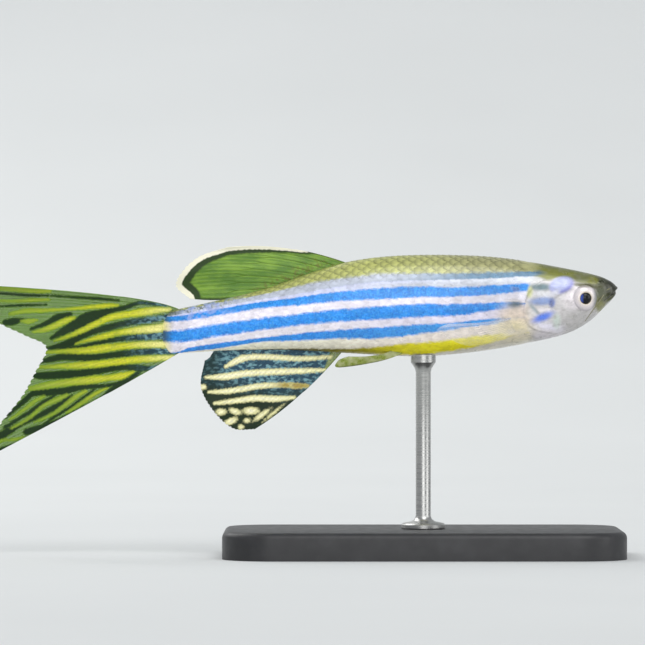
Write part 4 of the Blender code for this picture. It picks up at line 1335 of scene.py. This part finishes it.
# %% Tail fin
TAIL_ROOT = (35.0, -0.8, -4.15)
TAIL_RIM = (
    (0.0, 52.7, 1.3), (0.12, 52.2, 0.1), (0.26, 49.9, -1.7), (0.39, 47.5, -2.85), (0.5, 45.8, -3.8),
    (0.62, 46.7, -5.8), (0.75, 47.8, -7.8), (0.89, 49.8, -10.3), (1.0, 52.0, -13.4),
)
TAIL_BEND_AT = ((0.0, 0.15), (0.25, 0.36), (0.75, 0.36), (1.0, 0.3))
TAIL_BOW = ((0.0, 1.03), (0.25, 0.3), (0.5, 0.0), (0.75, -0.2), (1.0, -0.35))
TAIL_RIPPLE = 0.35
TAIL_MIDDLE = -2.8
TAIL_WARM, TAIL_DEEP, TAIL_FAR = (36.0, 40.5), (36.5, 41.0), (40.0, 49.5)
WARM_LEAN, DEEP_LEAN, FAR_LEAN = 0.9, 0.6, 1.1
LOWER_LOBE = -4.6
WEAK_LEVELS, WEAK_STATIONS, WEAKER_BY = (-1.3, 0.2), (43, 48), 0.35
TAIL_CELLS = (190, 90)
TAIL_RAYS = 19
TAIL_PALE = (
    ((35.8, -0.76, 0.16), (36.6, -0.8, 0.24), (37.8, -0.94, 0.32), (39.0, -1.12, 0.28), (40.6, -1.4, 0.27),
     (41.6, -1.84, 0.24), (42.8, -2.4, 0.22), (43.9, -2.88, 0.16), (45.1, -3.28, 0.08)),
    ((35.0, -1.92, 0.34), (36.6, -2.24, 0.34), (38.2, -2.4, 0.3), (39.8, -2.6, 0.24), (41.0, -2.88, 0.24),
     (42.2, -3.16, 0.16), (43.4, -3.52, 0.06)),
    ((34.8, -3.68, 0.28), (36.6, -3.56, 0.28), (38.2, -3.6, 0.28), (39.8, -3.72, 0.28), (41.4, -3.92, 0.32),
     (43.0, -4.08, 0.24), (44.6, -4.12, 0.16), (46.0, -4.2, 0.1)),
    ((35.0, -4.52, 0.12), (36.2, -4.64, 0.24), (38.2, -4.76, 0.28), (39.8, -4.92, 0.28), (41.4, -5.12, 0.28),
     (43.0, -5.24, 0.28), (44.6, -5.32, 0.2), (46.6, -5.4, 0.11)),
    ((38.7, -5.76, 0.08), (39.6, -6.08, 0.28), (40.7, -6.24, 0.24), (42.0, -6.4, 0.32), (44.2, -6.64, 0.28),
     (45.8, -6.88, 0.27), (47.1, -7.12, 0.16)),
    ((39.9, -0.4, 0.08), (40.7, -0.44, 0.18), (41.8, -0.52, 0.18), (43.0, -0.64, 0.14), (44.6, -0.76, 0.11),
     (46.2, -0.84, 0.16), (47.6, -0.88, 0.18), (48.7, -1.12, 0.13)),
    ((43.5, -1.4, 0.12), (44.2, -1.68, 0.26), (45.2, -2.12, 0.24), (46.0, -2.4, 0.18), (46.8, -2.56, 0.08)),
    ((45.4, 0.72, 0.12), (46.6, 0.72, 0.16), (48.2, 0.84, 0.18), (49.4, 0.92, 0.16), (51.6, 1.1, 0.1)),
    ((45.5, 0.04, 0.08), (47.0, 0.0, 0.14), (48.6, -0.08, 0.11), (50.4, 0.0, 0.08)),
    ((46.5, -1.6, 0.08), (47.2, -1.72, 0.19), (47.8, -1.68, 0.08)),
    ((45.9, -7.72, 0.1), (46.6, -8.08, 0.15), (47.6, -8.84, 0.13), (48.7, -9.6, 0.08)),
    ((44.0, -7.6, 0.1), (44.9, -8.0, 0.2), (46.0, -8.52, 0.15), (47.1, -9.44, 0.13), (48.6, -10.32, 0.08)),
    ((42.5, -7.28, 0.1), (43.4, -7.8, 0.18), (44.6, -8.72, 0.15), (45.8, -9.44, 0.1), (46.8, -9.84, 0.06)),
    ((40.8, -7.04, 0.08), (41.8, -7.52, 0.14), (42.8, -8.2, 0.15), (44.1, -9.04, 0.1)),
    ((47.6, -11.04, 0.08), (48.4, -11.2, 0.11), (49.4, -11.32, 0.11), (50.8, -12.1, 0.08)),
)
TAIL_DARK = (
    ((36.1, -0.44, 0.06), (37.4, -0.28, 0.13), (38.3, -0.24, 0.16), (39.4, -0.6, 0.19), (40.6, -0.88, 0.21),
     (41.5, -1.16, 0.36), (42.6, -1.56, 0.52), (43.6, -2.08, 0.4), (44.6, -2.6, 0.28), (45.4, -3.08, 0.1)),
    ((43.8, -1.12, 0.16), (44.9, -1.4, 0.27), (45.8, -1.88, 0.19), (47.0, -2.32, 0.11)),
    ((39.9, -0.04, 0.07), (41.4, 0.12, 0.12), (43.1, 0.2, 0.1), (45.4, 0.36, 0.08), (47.4, 0.4, 0.12),
     (49.1, 0.52, 0.1), (51.8, 0.6, 0.08)),
    ((47.6, -1.52, 0.08), (48.4, -1.72, 0.29), (49.1, -1.8, 0.24)),
    ((45.7, -0.36, 0.06), (47.4, -0.4, 0.1), (49.1, -0.48, 0.08), (51.0, -0.5, 0.08)),
    ((34.5, -0.92, 0.16), (36.2, -1.36, 0.18), (37.5, -1.6, 0.24), (39.0, -1.8, 0.24), (40.6, -2.16, 0.27),
     (41.8, -2.48, 0.24), (43.0, -2.96, 0.24), (43.9, -3.48, 0.34), (45.0, -3.76, 0.21),
     (45.8, -3.88, 0.08)),
    ((35.6, -2.88, 0.29), (37.0, -2.9, 0.26), (39.0, -3.04, 0.22), (40.3, -3.2, 0.19), (41.6, -3.44, 0.16),
     (43.0, -3.74, 0.14), (44.6, -3.86, 0.08)),
    ((34.5, -4.16, 0.16), (36.2, -4.1, 0.22), (38.2, -4.16, 0.24), (39.6, -4.32, 0.26), (41.0, -4.48, 0.22),
     (42.3, -4.64, 0.29), (44.2, -4.56, 0.29), (45.6, -4.8, 0.22), (46.6, -5.04, 0.1)),
    ((35.8, -5.0, 0.08), (37.2, -5.44, 0.16), (38.3, -5.44, 0.26), (39.6, -5.4, 0.22), (41.0, -5.6, 0.25),
     (42.6, -5.84, 0.29), (44.6, -6.0, 0.32), (46.2, -6.08, 0.29), (47.2, -6.0, 0.18)),
    ((38.3, -5.84, 0.16), (39.3, -6.48, 0.18), (40.7, -6.84, 0.14), (41.8, -6.92, 0.18), (42.8, -6.96, 0.24),
     (44.2, -7.28, 0.26), (45.4, -7.4, 0.29), (46.8, -7.52, 0.24), (47.8, -8.32, 0.2), (49.1, -9.44, 0.13)),
    ((45.1, -7.68, 0.08), (46.0, -8.24, 0.17), (47.1, -9.0, 0.16), (48.2, -9.68, 0.14),
     (49.1, -10.24, 0.16)),
    ((43.7, -7.68, 0.11), (44.6, -8.32, 0.18), (45.5, -8.84, 0.23), (46.6, -9.44, 0.18),
     (47.8, -10.04, 0.13), (49.1, -10.72, 0.32), (50.6, -11.5, 0.2)),
    ((41.9, -7.2, 0.1), (42.8, -7.84, 0.1), (43.8, -8.6, 0.13), (44.9, -9.24, 0.11), (45.8, -9.92, 0.13)),
    ((39.1, -6.48, 0.11), (40.4, -7.12, 0.17), (41.5, -8.0, 0.14), (42.8, -8.64, 0.14), (44.2, -9.44, 0.18),
     (45.8, -10.12, 0.24), (47.4, -10.6, 0.27)),
    ((47.0, -11.2, 0.14), (48.2, -11.68, 0.22), (49.8, -12.24, 0.24), (51.4, -13.0, 0.16)),
)


def rim_point(rim, v):
    """The point of a fin's rim at v, from rows of v, station and level."""
    return column_of(curve_at([row[:2] for row in rim], v), 0, curve_at([row[::2] for row in rim], v))


def tail_ray(v, u):
    """A point of the tail fin."""
    start, top, bottom = TAIL_ROOT
    root = column_of(start, 0, top + (bottom - top) * v)
    tip = rim_point(TAIL_RIM, v)
    middle = root + (tip - root) * curve_at(TAIL_BEND_AT, v)[..., None]
    middle = middle + column_of(0, 0, curve_at(TAIL_BOW, v))
    point = bent(root, middle, tip, u)
    point[..., 1] = sway(point[..., 0]) + TAIL_RIPPLE * u * u * np.sin(4 * math.pi * v)
    return point


def tail_fade(s, z):
    """Strength of the tail's pigment: weak in the outer half of the upper lobe."""
    return 1 - WEAKER_BY * smooth(z, *WEAK_LEVELS) * smooth(s, *WEAK_STATIONS)


tail_sheet = fin_sheet("tail_fin", tail_ray, TAIL_RAYS, TAIL_CELLS)
tail_rays = fin_rays("tail_fin_rays", tail_ray, TAIL_RAYS)
for piece in (tail_sheet, tail_rays):
    mark_stripes(
        piece,
        pale_gap=lambda s, z: nearest_gap(s, z, TAIL_PALE),
        dark_gap=lambda s, z: nearest_gap(s, z, TAIL_DARK),
        fade=tail_fade,
        warm=lambda s, z: smooth(s + WARM_LEAN * np.abs(z - TAIL_MIDDLE), *TAIL_WARM),
        deep=lambda s, z: smooth(s + DEEP_LEAN * np.abs(z - TAIL_MIDDLE), *TAIL_DEEP),
        far=lambda s, z: smooth(s + FAR_LEAN * np.maximum(0, LOWER_LOBE - z), *TAIL_FAR),
    )
    dress(piece, TAIL_FINISH)
    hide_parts("tail_fin_upper", "tail_fin_lower")
print("the tail fin has", len(tail_sheet.data.polygons), "and", len(tail_rays.data.polygons), "faces")

# %% [markdown]
# ## The anal fin
#
# The fin under the tail stalk is deep at the front. Its bands run level, almost across the rays, and
# break up into oval spots at the tip. The dark between the upper bands is blue, and nearly black lower
# down and at the rear. One band has an orange start.

# %% Anal fin
ANAL_BASE = (21.9, 32.1)
ANAL_RIM = (
    (0.0, 29.0, -10.35), (0.2, 30.7, -10.3), (0.45, 32.3, -8.9), (0.7, 33.3, -7.0), (1.0, 33.0, -4.85),
)
ANAL_BOW = ((0.0, -0.75), (1.0, -0.1))
ANAL_RAYS = 15
ANAL_RIPPLE = 0.12
ANAL_CELLS = (120, 70)
ORANGE_START = (25.6, -6.85, 1.7, 0.5, 0, 0.5)
DARK_FROM, DARK_LEVEL, DARK_LEAN = 23.3, -5.2, 0.35
DEEP_MIDDLE, DEEP_BEND, DEEP_DOWN = 27.0, 0.2, (6.4, 8.6)
DEEP_REAR, DEEP_STATIONS = 0.7, (31.0, 32.4)
FAR_STRENGTH, FAR_DOWN, FAR_STATIONS = 0.8, (8.6, 10.0), (27.5, 28.6)
ROOT_GAP = 0.3
FIN_SINK = 0.24
ANAL_STRIPES = (
    ((22.9, -4.56, 0.14), (25.4, -4.69, 0.19), (27.8, -4.56, 0.21), (29.4, -4.58, 0.23), (30.3, -4.8, 0.26),
     (31.3, -5.32, 0.13)),
    ((23.4, -5.6, 0.12), (25.4, -5.68, 0.22), (27.8, -5.76, 0.24), (29.8, -5.89, 0.25), (31.4, -6.13, 0.26),
     (32.9, -6.2, 0.11)),
    ((24.7, -6.86, 0.12), (25.6, -6.86, 0.24), (26.6, -6.8, 0.2), (28.6, -6.88, 0.22), (30.2, -7.16, 0.22),
     (31.4, -7.32, 0.2), (32.7, -7.36, 0.11)),
    ((25.8, -7.8, 0.13), (27.4, -7.92, 0.24), (29.0, -7.88, 0.24), (30.6, -8.08, 0.21), (32.2, -8.28, 0.12)),
)
ANAL_SPOTS = (
    (31.68, -8.96, 0.42, 0.26, 0), (30.56, -8.92, 0.5, 0.24, -18), (29.28, -8.88, 0.66, 0.3, 0),
    (28.4, -9.18, 0.78, 0.2, 36), (27.5, -9.06, 0.8, 0.11, 40), (30.9, -9.7, 0.56, 0.26, 22),
    (29.6, -9.64, 0.26, 0.19, 0), (30.1, -10.16, 0.24, 0.19, 0), (33.12, -6.96, 0.28, 0.22, 0),
)


def rim_ray(base, line, hand, rim, bow, ripple):
    """The point function of a fin on the back, hand 1, or on the belly, hand -1."""
    def ray(v, u):
        start = base[0] + (base[1] - base[0]) * v
        level = curve_at(line, start)
        root = column_of(start, 0, level - hand * FIN_SINK)
        tip = rim_point(rim, v)
        middle = (column_of(start, 0, level + hand * ROOT_GAP) + tip) / 2 + column_of(0, 0, curve_at(bow, v))
        point = bent(root, middle, tip, u)
        point[..., 1] = sway(point[..., 0]) + ripple * u * np.sin(3 * math.pi * v)
        return point
    return ray


def anal_depth(s, z):
    """How near to black the dark pigment is: most towards the tip and at the rear."""
    low = smooth(DEEP_BEND * np.abs(s - DEEP_MIDDLE) - z, *DEEP_DOWN)
    return np.maximum(low, DEEP_REAR * smooth(s, *DEEP_STATIONS))


anal_ray = rim_ray(ANAL_BASE, BELLY_LINE, -1, ANAL_RIM, ANAL_BOW, ANAL_RIPPLE)
anal_sheet = fin_sheet("anal_fin_sheet", anal_ray, ANAL_RAYS, ANAL_CELLS)
anal_rays = fin_rays("anal_fin_rays", anal_ray, ANAL_RAYS)
for piece in (anal_sheet, anal_rays):
    mark_stripes(
        piece,
        pale_gap=lambda s, z: nearest_gap(s, z, ANAL_STRIPES, ANAL_SPOTS),
        dark_gap=lambda s, z: DARK_FROM - s - DARK_LEAN * (z - DARK_LEVEL),
        fade=lambda s, z: 1.0,
        warm=lambda s, z: oval(s, z, *ORANGE_START),
        deep=anal_depth,
        far=lambda s, z: FAR_STRENGTH * smooth(-z, *FAR_DOWN) * (1 - smooth(s, *FAR_STATIONS)),
    )
    dress(piece, ANAL_FINISH)
    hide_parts("anal_fin")
print("the anal fin has", len(anal_sheet.data.polygons), "and", len(anal_rays.data.polygons), "faces")

# %% [markdown]
# ## The dorsal fin
#
# The fin on the back is long and sweeps to the rear. It has a cream rim that narrows to the front, a
# dark olive band inside the rim, and a green, faintly streaked middle. Its finish reads how far each
# point is from these bands and from the root.

# %% Dorsal fin
DORSAL_BASE = (21.4, 28.0)
DORSAL_RIM = (
    (0.0, 31.2, 4.22), (0.25, 33.4, 3.5), (0.5, 34.8, 2.3), (0.75, 35.3, 1.1), (1.0, 34.2, 0.12),
)
DORSAL_BOW = ((0.0, 0.9), (0.7, 0.3), (1.0, -1.0))
DORSAL_RAYS = 9
DORSAL_RIPPLE = 0.15
DORSAL_CELLS = (90, 80)
CREAM_WIDTH = ((23.5, 0.04), (25.5, 0.14), (28.0, 0.24), (31.0, 0.3), (33.4, 0.38), (34.8, 0.48))
DARK_WIDTH = ((21.0, 0.2), (25.5, 0.14), (27.0, 0.2), (29.0, 0.3), (32.0, 0.38), (34.0, 0.6), (34.8, 0.7))
DARK_GREEN, LIGHT_GREEN = colour(84, 130, 22), colour(136, 176, 50)
RAY_GREEN = colour(84, 108, 36)
ROOT_SPECK = colour(104, 106, 44)
DARK_BAND = colour(40, 62, 22)
CREAM = colour(244, 240, 216)

dorsal_finish, tree, shader = finish("olive_dorsal_fin", **FIN_GLOSS)
ragged = swing(tree, noise(tree, 0.25), 0.14)
cloudy = noise(tree, 0.7, 4.0, (0.35, 1, 1))
streaked = sums(tree, "ADD", sums(tree, "MULTIPLY", ray_streak(tree), 0.06), cloudy)
inner = mix(tree, ranged(tree, streaked, 0.3, 0.72), DARK_GREEN, LIGHT_GREEN)
inner = mix(tree, attribute(tree, "ray"), inner, RAY_GREEN)
specks = ranged(tree, noise(tree, 0.26, 3.0), 0.48, 0.62, 0.0, 0.8)
specks = sums(tree, "MULTIPLY", attribute(tree, "root"), specks)
inner = mix(tree, specks, inner, ROOT_SPECK)
band = ranged(tree, sums(tree, "ADD", attribute(tree, "dark_gap"), ragged), 0.12, -0.1)
inner = mix(tree, band, inner, DARK_BAND)
cream = ranged(tree, sums(tree, "ADD", attribute(tree, "cream_gap"), ragged), 0.06, -0.05)
tree.links.new(mix(tree, cream, inner, CREAM), shader.inputs["Base Color"])
strong = sums(tree, "MAXIMUM", sums(tree, "MAXIMUM", cream, band), specks)
tree.links.new(ranged(tree, strong, 0.0, 1.0, 0.8, 0.97), shader.inputs["Alpha"])
print("made", dorsal_finish.name)

# %% Dorsal fin pieces
PATH_POINTS = 60
REAR_POINTS = 20
REAR_STRETCH = (0.5, 0.98)
REAR_WIDTH = 0.14
ROOT_SHARE = 0.1
ROOT_FADE = (0.15, 0.9)
NO_CREAM, CREAM_STARTS = 0.3, (23.5, 25.5)
RAY_SHARE = 0.6


def side_path(ray, v, u):
    """Stations and levels along a fin, from its point function."""
    v, u = np.broadcast_arrays(v, u)
    return [tuple(point[[0, 2]]) for point in ray(v.astype(float), u.astype(float))]


dorsal_ray = rim_ray(DORSAL_BASE, BACK_LINE, 1, DORSAL_RIM, DORSAL_BOW, DORSAL_RIPPLE)
dorsal_sheet = fin_sheet("dorsal_fin_sheet", dorsal_ray, DORSAL_RAYS, DORSAL_CELLS)
dorsal_rays = fin_rays("dorsal_fin_rays", dorsal_ray, DORSAL_RAYS)
sample = np.linspace(0, 1, PATH_POINTS)
rim_path = side_path(dorsal_ray, 0, sample[:-1]) + side_path(dorsal_ray, sample, 1)
last_path = side_path(dorsal_ray, 1, np.linspace(*REAR_STRETCH, REAR_POINTS))
root_path = side_path(dorsal_ray, sample, ROOT_SHARE)
for piece, is_ray in ((dorsal_sheet, 0), (dorsal_rays, 1)):
    s, _, z = to_fish(places(piece)).T
    cream_gap = path_gap(s, z, rim_path) - curve_at(CREAM_WIDTH, s)
    cream_gap = cream_gap + NO_CREAM * (1 - smooth(s, *CREAM_STARTS))
    dark_gap = np.minimum(cream_gap - curve_at(DARK_WIDTH, s), path_gap(s, z, last_path) - REAR_WIDTH)
    keep_value(piece, "cream_gap", cream_gap)
    keep_value(piece, "dark_gap", dark_gap)
    keep_value(piece, "root", 1 - smooth(path_gap(s, z, root_path), *ROOT_FADE))
    keep_value(piece, "ray", RAY_SHARE * is_ray)
    dress(piece, dorsal_finish)
    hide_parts("dorsal_fin")
print("the dorsal fin has", len(dorsal_sheet.data.polygons), "and", len(dorsal_rays.data.polygons), "faces")

# %% [markdown]
# ## Paired fins
#
# The breast and belly fins are small and fold back along the body. The breast fins are nearly clear,
# and only their leading ray shows plainly. The belly fins are olive, with a dusky lower rim.

# %% Paired fins
PECTORAL = {"station": 8.35, "turn": 120.0, "height": 1.15}
PECTORAL_LENGTH = 7.0
PECTORAL_SPREAD = 21.0
PECTORAL_FALL = (5.0, 17.0)
PECTORAL_RAYS = 12
PECTORAL_UPRIGHT = (0.35, 0, 1)
PECTORAL_TAPER = 0.45
PECTORAL_SHOULDER = 0.07
PECTORAL_LIFT = 0.9
PELVIC = {"station": 17.5, "turn": 158.0, "height": 0.9}
PELVIC_LENGTHS = (5.9, 4.3)
PELVIC_HEADING = ((0.97, 0.1, -0.24), (0.97, 0.15, -0.14))
PELVIC_RAYS = 8
PELVIC_LEAN = 0.25
PELVIC_LIFT = 0.6
PAIRED_SINK = 0.12
PAIRED_BEND = 0.3
PAIRED_GLAZE = colour(236, 232, 196)
TIP_ROUND = 0.16


def unit(vector):
    """The direction of a vector."""
    vector = np.asarray(vector, float)
    return vector / np.linalg.norm(vector, axis=-1, keepdims=True)


def swept(root, lift, heading, length, u):
    """The point at u of a ray that leaves its root by a lift and then bends to its heading."""
    return bent(root, root + lift + heading * length * PAIRED_BEND, root + heading * length, u)


def rounded(v):
    """Share of the length left to each ray, which rounds the corners of a fin."""
    return 1 - TIP_ROUND * np.abs(2 * v - 1) ** 4


def pectoral_ray(side):
    """The point function of a breast fin."""
    centre, normal = sunk_point(PECTORAL["station"], PECTORAL["turn"], side, PAIRED_SINK)
    upright = np.array(PECTORAL_UPRIGHT)
    upright = unit(upright - normal * (upright @ normal))
    out = math.radians(PECTORAL_SPREAD)

    def ray(v, u):
        root = centre + upright * (PECTORAL["height"] * (0.5 - v))[..., None]
        fall = np.radians(PECTORAL_FALL[0] + PECTORAL_FALL[1] * v)
        shoulder = 1 - PECTORAL_SHOULDER * (1 - np.sin(math.pi * np.minimum(1, 4 * v)))
        length = (PECTORAL_LENGTH * (1 - PECTORAL_TAPER * v**1.5) * shoulder * rounded(v))[..., None]
        heading = column_of(math.cos(out) * np.cos(fall), side * math.sin(out), -np.sin(fall))
        return swept(root, normal * PECTORAL_LIFT, heading, length, u)
    return ray


def pelvic_ray(side):
    """The point function of a belly fin."""
    centre, normal = sunk_point(PELVIC["station"], PELVIC["turn"], side, PAIRED_SINK)
    along = np.array([1, side * PELVIC_LEAN, 0])
    along = unit(along - normal * (along @ normal))
    first, last = (np.array([back, side * out, up]) for back, out, up in PELVIC_HEADING)

    def ray(v, u):
        root = centre + along * (PELVIC["height"] * (v - 0.5))[..., None]
        length = ((PELVIC_LENGTHS[0] + (PELVIC_LENGTHS[1] - PELVIC_LENGTHS[0]) * v) * rounded(v))[..., None]
        heading = unit(first + (last - first) * v[..., None])
        return swept(root, normal * PELVIC_LIFT, heading, length, u)
    return ray


def clear_finish(name, pale, dusky, thin, thick):
    """A clear fin, duskier and less see-through where its value says."""
    made, tree, shader = finish(name, Roughness=0.35, Coat_Weight=0.35, Coat_Roughness=0.2)
    cloud = ranged(tree, noise(tree, 0.5, 3.0), 0.35, 0.65, 0.0, 0.5)
    dusk = attribute(tree, "dusk")
    tint = mix(tree, dusk, mix(tree, cloud, colour(*pale), PAIRED_GLAZE), colour(*dusky))
    tree.links.new(tint, shader.inputs["Base Color"])
    tree.links.new(ranged(tree, dusk, 0.0, 1.0, thin, thick), shader.inputs["Alpha"])
    return made


PECTORAL_FINISH = clear_finish(
    "clear_breast_fin", pale=(240, 234, 236), dusky=(200, 208, 226), thin=0.07, thick=0.3
)
PELVIC_FINISH = clear_finish(
    "clear_belly_fin", pale=(146, 164, 34), dusky=(80, 92, 26), thin=0.55, thick=0.88
)
print("made", PECTORAL_FINISH.name, "and", PELVIC_FINISH.name)

# %% [markdown]
# The breast fin is dusky along the whole of its leading ray, the belly fin only towards the tip of it.
# Four values say how dusky a fin is there, how far the dusk reaches across the rays, between which
# places along them it sets in, and how much every ray adds.

# %% Paired fin pieces
LEADING_DUSK = (1.0, (0.03, 0.12), (-2.0, -1.0), 0.12)
LOWER_DUSK = (0.9, (0.0, 0.22), (0.25, 0.6), 0.25)
PAIRED_CELLS = (44, 30)
PAIRED_FORKS = (0.55,)
PAIRED_RAY_ROOT = 0.045


def nearest_share(piece, ray, cells=60):
    """The v and u of the fin point nearest to each point of a piece."""
    shares = np.linspace(0, 1, cells)
    grid = np.stack(np.meshgrid(shares, shares, indexing="ij"), -1).reshape(-1, 2)
    spots = ray(grid[:, 0], grid[:, 1])
    points = to_fish(places(piece))
    best = np.array([np.argmin(((spots - p) ** 2).sum(axis=1)) for p in points])
    return grid[best, 0], grid[best, 1]


for kind, maker, rays, material, (most, across, along, ray_dusk) in (
    ("pectoral", pectoral_ray, PECTORAL_RAYS, PECTORAL_FINISH, LEADING_DUSK),
    ("pelvic", pelvic_ray, PELVIC_RAYS, PELVIC_FINISH, LOWER_DUSK),
):
    for side, hand in ((1, "left"), (-1, "right")):
        node = f"{kind}_fin_{hand}"
        ray = maker(side)
        sheet = fin_sheet(node + "_sheet", ray, rays, PAIRED_CELLS)
        lines = fin_rays(node + "_rays", ray, rays, PAIRED_FORKS, PAIRED_RAY_ROOT)
        for piece, is_ray in ((sheet, 0), (lines, 1)):
            v, u = nearest_share(piece, ray)
            dusk = most * (1 - smooth(v, *across)) * smooth(u, *along) + ray_dusk * is_ray
            keep_value(piece, "dusk", np.clip(dusk, 0, 1))
            dress(piece, material)
            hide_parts(node)
        print(node, len(sheet.data.polygons) + len(lines.data.polygons), "faces")

# %% [markdown]
# ## Barbels
#
# Two pairs of fine feelers hang from the upper lip, a short pair in front and a longer pair at the
# corners of the mouth. Each is a curve with a tapering width, turned into a mesh.

# %% Barbels
BARBELS = (
    {"station": 0.42, "turn": 70.0, "length": 1.1, "lean": (0.85, 0.35, -0.3)},
    {"station": 1.02, "turn": 96.0, "length": 2.3, "lean": (0.62, 0.22, -0.72)},
)
BARBEL_ROOT = 0.065
BARBEL_TIP = 0.02
BARBEL_POINTS = 16
BARBEL_SINK = 0.08
BARBEL_RISE = 0.2
BARBEL_RISE_RATE = 2.5
BARBEL_DROOP = (0.1, 0, -0.22)

feelers = new_tubes("barbels", 2)
t = np.linspace(0, 1, BARBEL_POINTS)[:, None]
for place in BARBELS:
    for side in (1, -1):
        start, normal = sunk_point(place["station"], place["turn"], side, BARBEL_SINK)
        back, out, down = place["lean"]
        lean = unit((back, out * side, down))
        reach = normal * BARBEL_RISE * np.minimum(1, BARBEL_RISE_RATE * t) + lean * place["length"] * t
        points = start + reach + np.array(BARBEL_DROOP) * place["length"] * t**2
        add_tube(feelers, points, BARBEL_ROOT + (BARBEL_TIP - BARBEL_ROOT) * t)
barbels = tubes_mesh(feelers)

barbel_finish, tree, shader = finish("barbel_skin", Roughness=0.4, Coat_Weight=0.4)
tint = mix(tree, noise(tree, 0.3), colour(84, 84, 50), colour(132, 128, 92))
tree.links.new(tint, shader.inputs["Base Color"])
dress(barbels, barbel_finish)
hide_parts("head")
print("the barbels have", len(barbels.data.polygons), "faces")

# %% [markdown]
# ## The stand
#
# The base is a flat slab with round corners and a softened upper rim. It starts as a cube: first its
# four upright edges are bevelled wide, then the rim on top is bevelled finely. The rod is drawn up from
# a circle, ring by ring, as on a lathe, and its head reaches just into the belly.

# %% Stand base
BASE_CORNER = 4.0
BASE_BEVEL = 0.5
CORNER_STEPS = 16
BEVEL_STEPS = 5

low, high = (np.array(corner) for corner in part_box("stand_base"))
size, middle = high - low, (high + low) / 2
bpy.ops.mesh.primitive_cube_add(size=1, location=middle, scale=size)
base = named("stand_base_slab")
apply_all(base)
bpy.ops.object.mode_set(mode="EDIT")
tag_edges(base, lambda a, b: abs(a.z - b.z) > 0.5 * size[2])
bpy.ops.mesh.bevel(offset=BASE_CORNER * MM, segments=CORNER_STEPS, affect="EDGES")
tag_edges(base, lambda a, b: min(a.z, b.z) > high[2] - 1e-6)
bpy.ops.mesh.bevel(offset=BASE_BEVEL * MM, segments=BEVEL_STEPS, affect="EDGES")
bpy.ops.object.mode_set(mode="OBJECT")
print("the base has", len(base.data.polygons), "faces")

# %% Stand finishes
lacquer, tree, shader = finish("satin_black_lacquer", Coat_Weight=0.12, Coat_Roughness=0.35)
dust = ranged(tree, noise(tree, 1.6, 5.0), 0.5, 0.8)
tree.links.new(mix(tree, dust, colour(30, 30, 32), colour(46, 46, 48)), shader.inputs["Base Color"])
tree.links.new(ranged(tree, noise(tree, 0.8, 4.0), 0.3, 0.7, 0.46, 0.56), shader.inputs["Roughness"])
tree.links.new(bump(tree, noise(tree, 0.25, 3.0), 0.001), shader.inputs["Normal"])
dress(base, lacquer, 30.0)
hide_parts("stand_base")

steel, tree, shader = finish("brushed_steel_rod", Metallic=1.0)
turning = noise(tree, 0.12, 4.0, (0.05, 0.05, 1))
tree.links.new(mix(tree, turning, colour(150, 150, 148), colour(196, 196, 193)), shader.inputs["Base Color"])
tree.links.new(ranged(tree, turning, 0.3, 0.7, 0.22, 0.4), shader.inputs["Roughness"])
tree.links.new(bump(tree, turning, 0.004), shader.inputs["Normal"])
print("made", lacquer.name, "and", steel.name)

# %% Stand rod
ROD_RADIUS = 0.6
FOOT_RADIUS = 1.7
PAD_RADIUS = 1.0
BASE_TOP = 2.2
BELLY_AT_ROD = EYE_LEVEL + float(curve_at(BELLY_LINE, ROD_STATION))
ROD_PROFILE = (
    (FOOT_RADIUS, BASE_TOP), (FOOT_RADIUS + 0.06, BASE_TOP + 0.08), (FOOT_RADIUS + 0.06, BASE_TOP + 0.34),
    (FOOT_RADIUS - 0.06, BASE_TOP + 0.46), (0.95, BASE_TOP + 0.6), (ROD_RADIUS + 0.1, BASE_TOP + 0.78),
    (ROD_RADIUS, BASE_TOP + 1.05), (ROD_RADIUS, BELLY_AT_ROD - 1.3), (ROD_RADIUS + 0.06, BELLY_AT_ROD - 1.0),
    (PAD_RADIUS - 0.1, BELLY_AT_ROD - 0.62), (PAD_RADIUS, BELLY_AT_ROD - 0.5),
    (PAD_RADIUS, BELLY_AT_ROD + 0.12),
)
ROD_SIDES = 48

start_radius, start_z = ROD_PROFILE[0]
bpy.ops.mesh.primitive_circle_add(
    vertices=ROD_SIDES, radius=start_radius * MM, fill_type="NGON", location=(0, 0, start_z * MM)
)
rod = named("stand_rod_turned")
apply_all(rod)
bpy.ops.object.mode_set(mode="EDIT")
bpy.ops.mesh.select_all(action="SELECT")
for (radius, z), (next_radius, next_z) in zip(ROD_PROFILE[:-1], ROD_PROFILE[1:]):
    bpy.ops.mesh.extrude_region_move(TRANSFORM_OT_translate={"value": (0, 0, (next_z - z) * MM)})
    ratio = next_radius / radius
    bpy.ops.transform.resize(value=(ratio, ratio, 1))
bpy.ops.object.mode_set(mode="OBJECT")
outwards(rod)
dress(rod, steel, 35.0)
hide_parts("stand_rod")
print("the rod is", round(ROD_PROFILE[-1][1] - start_z, 2), "mm tall")
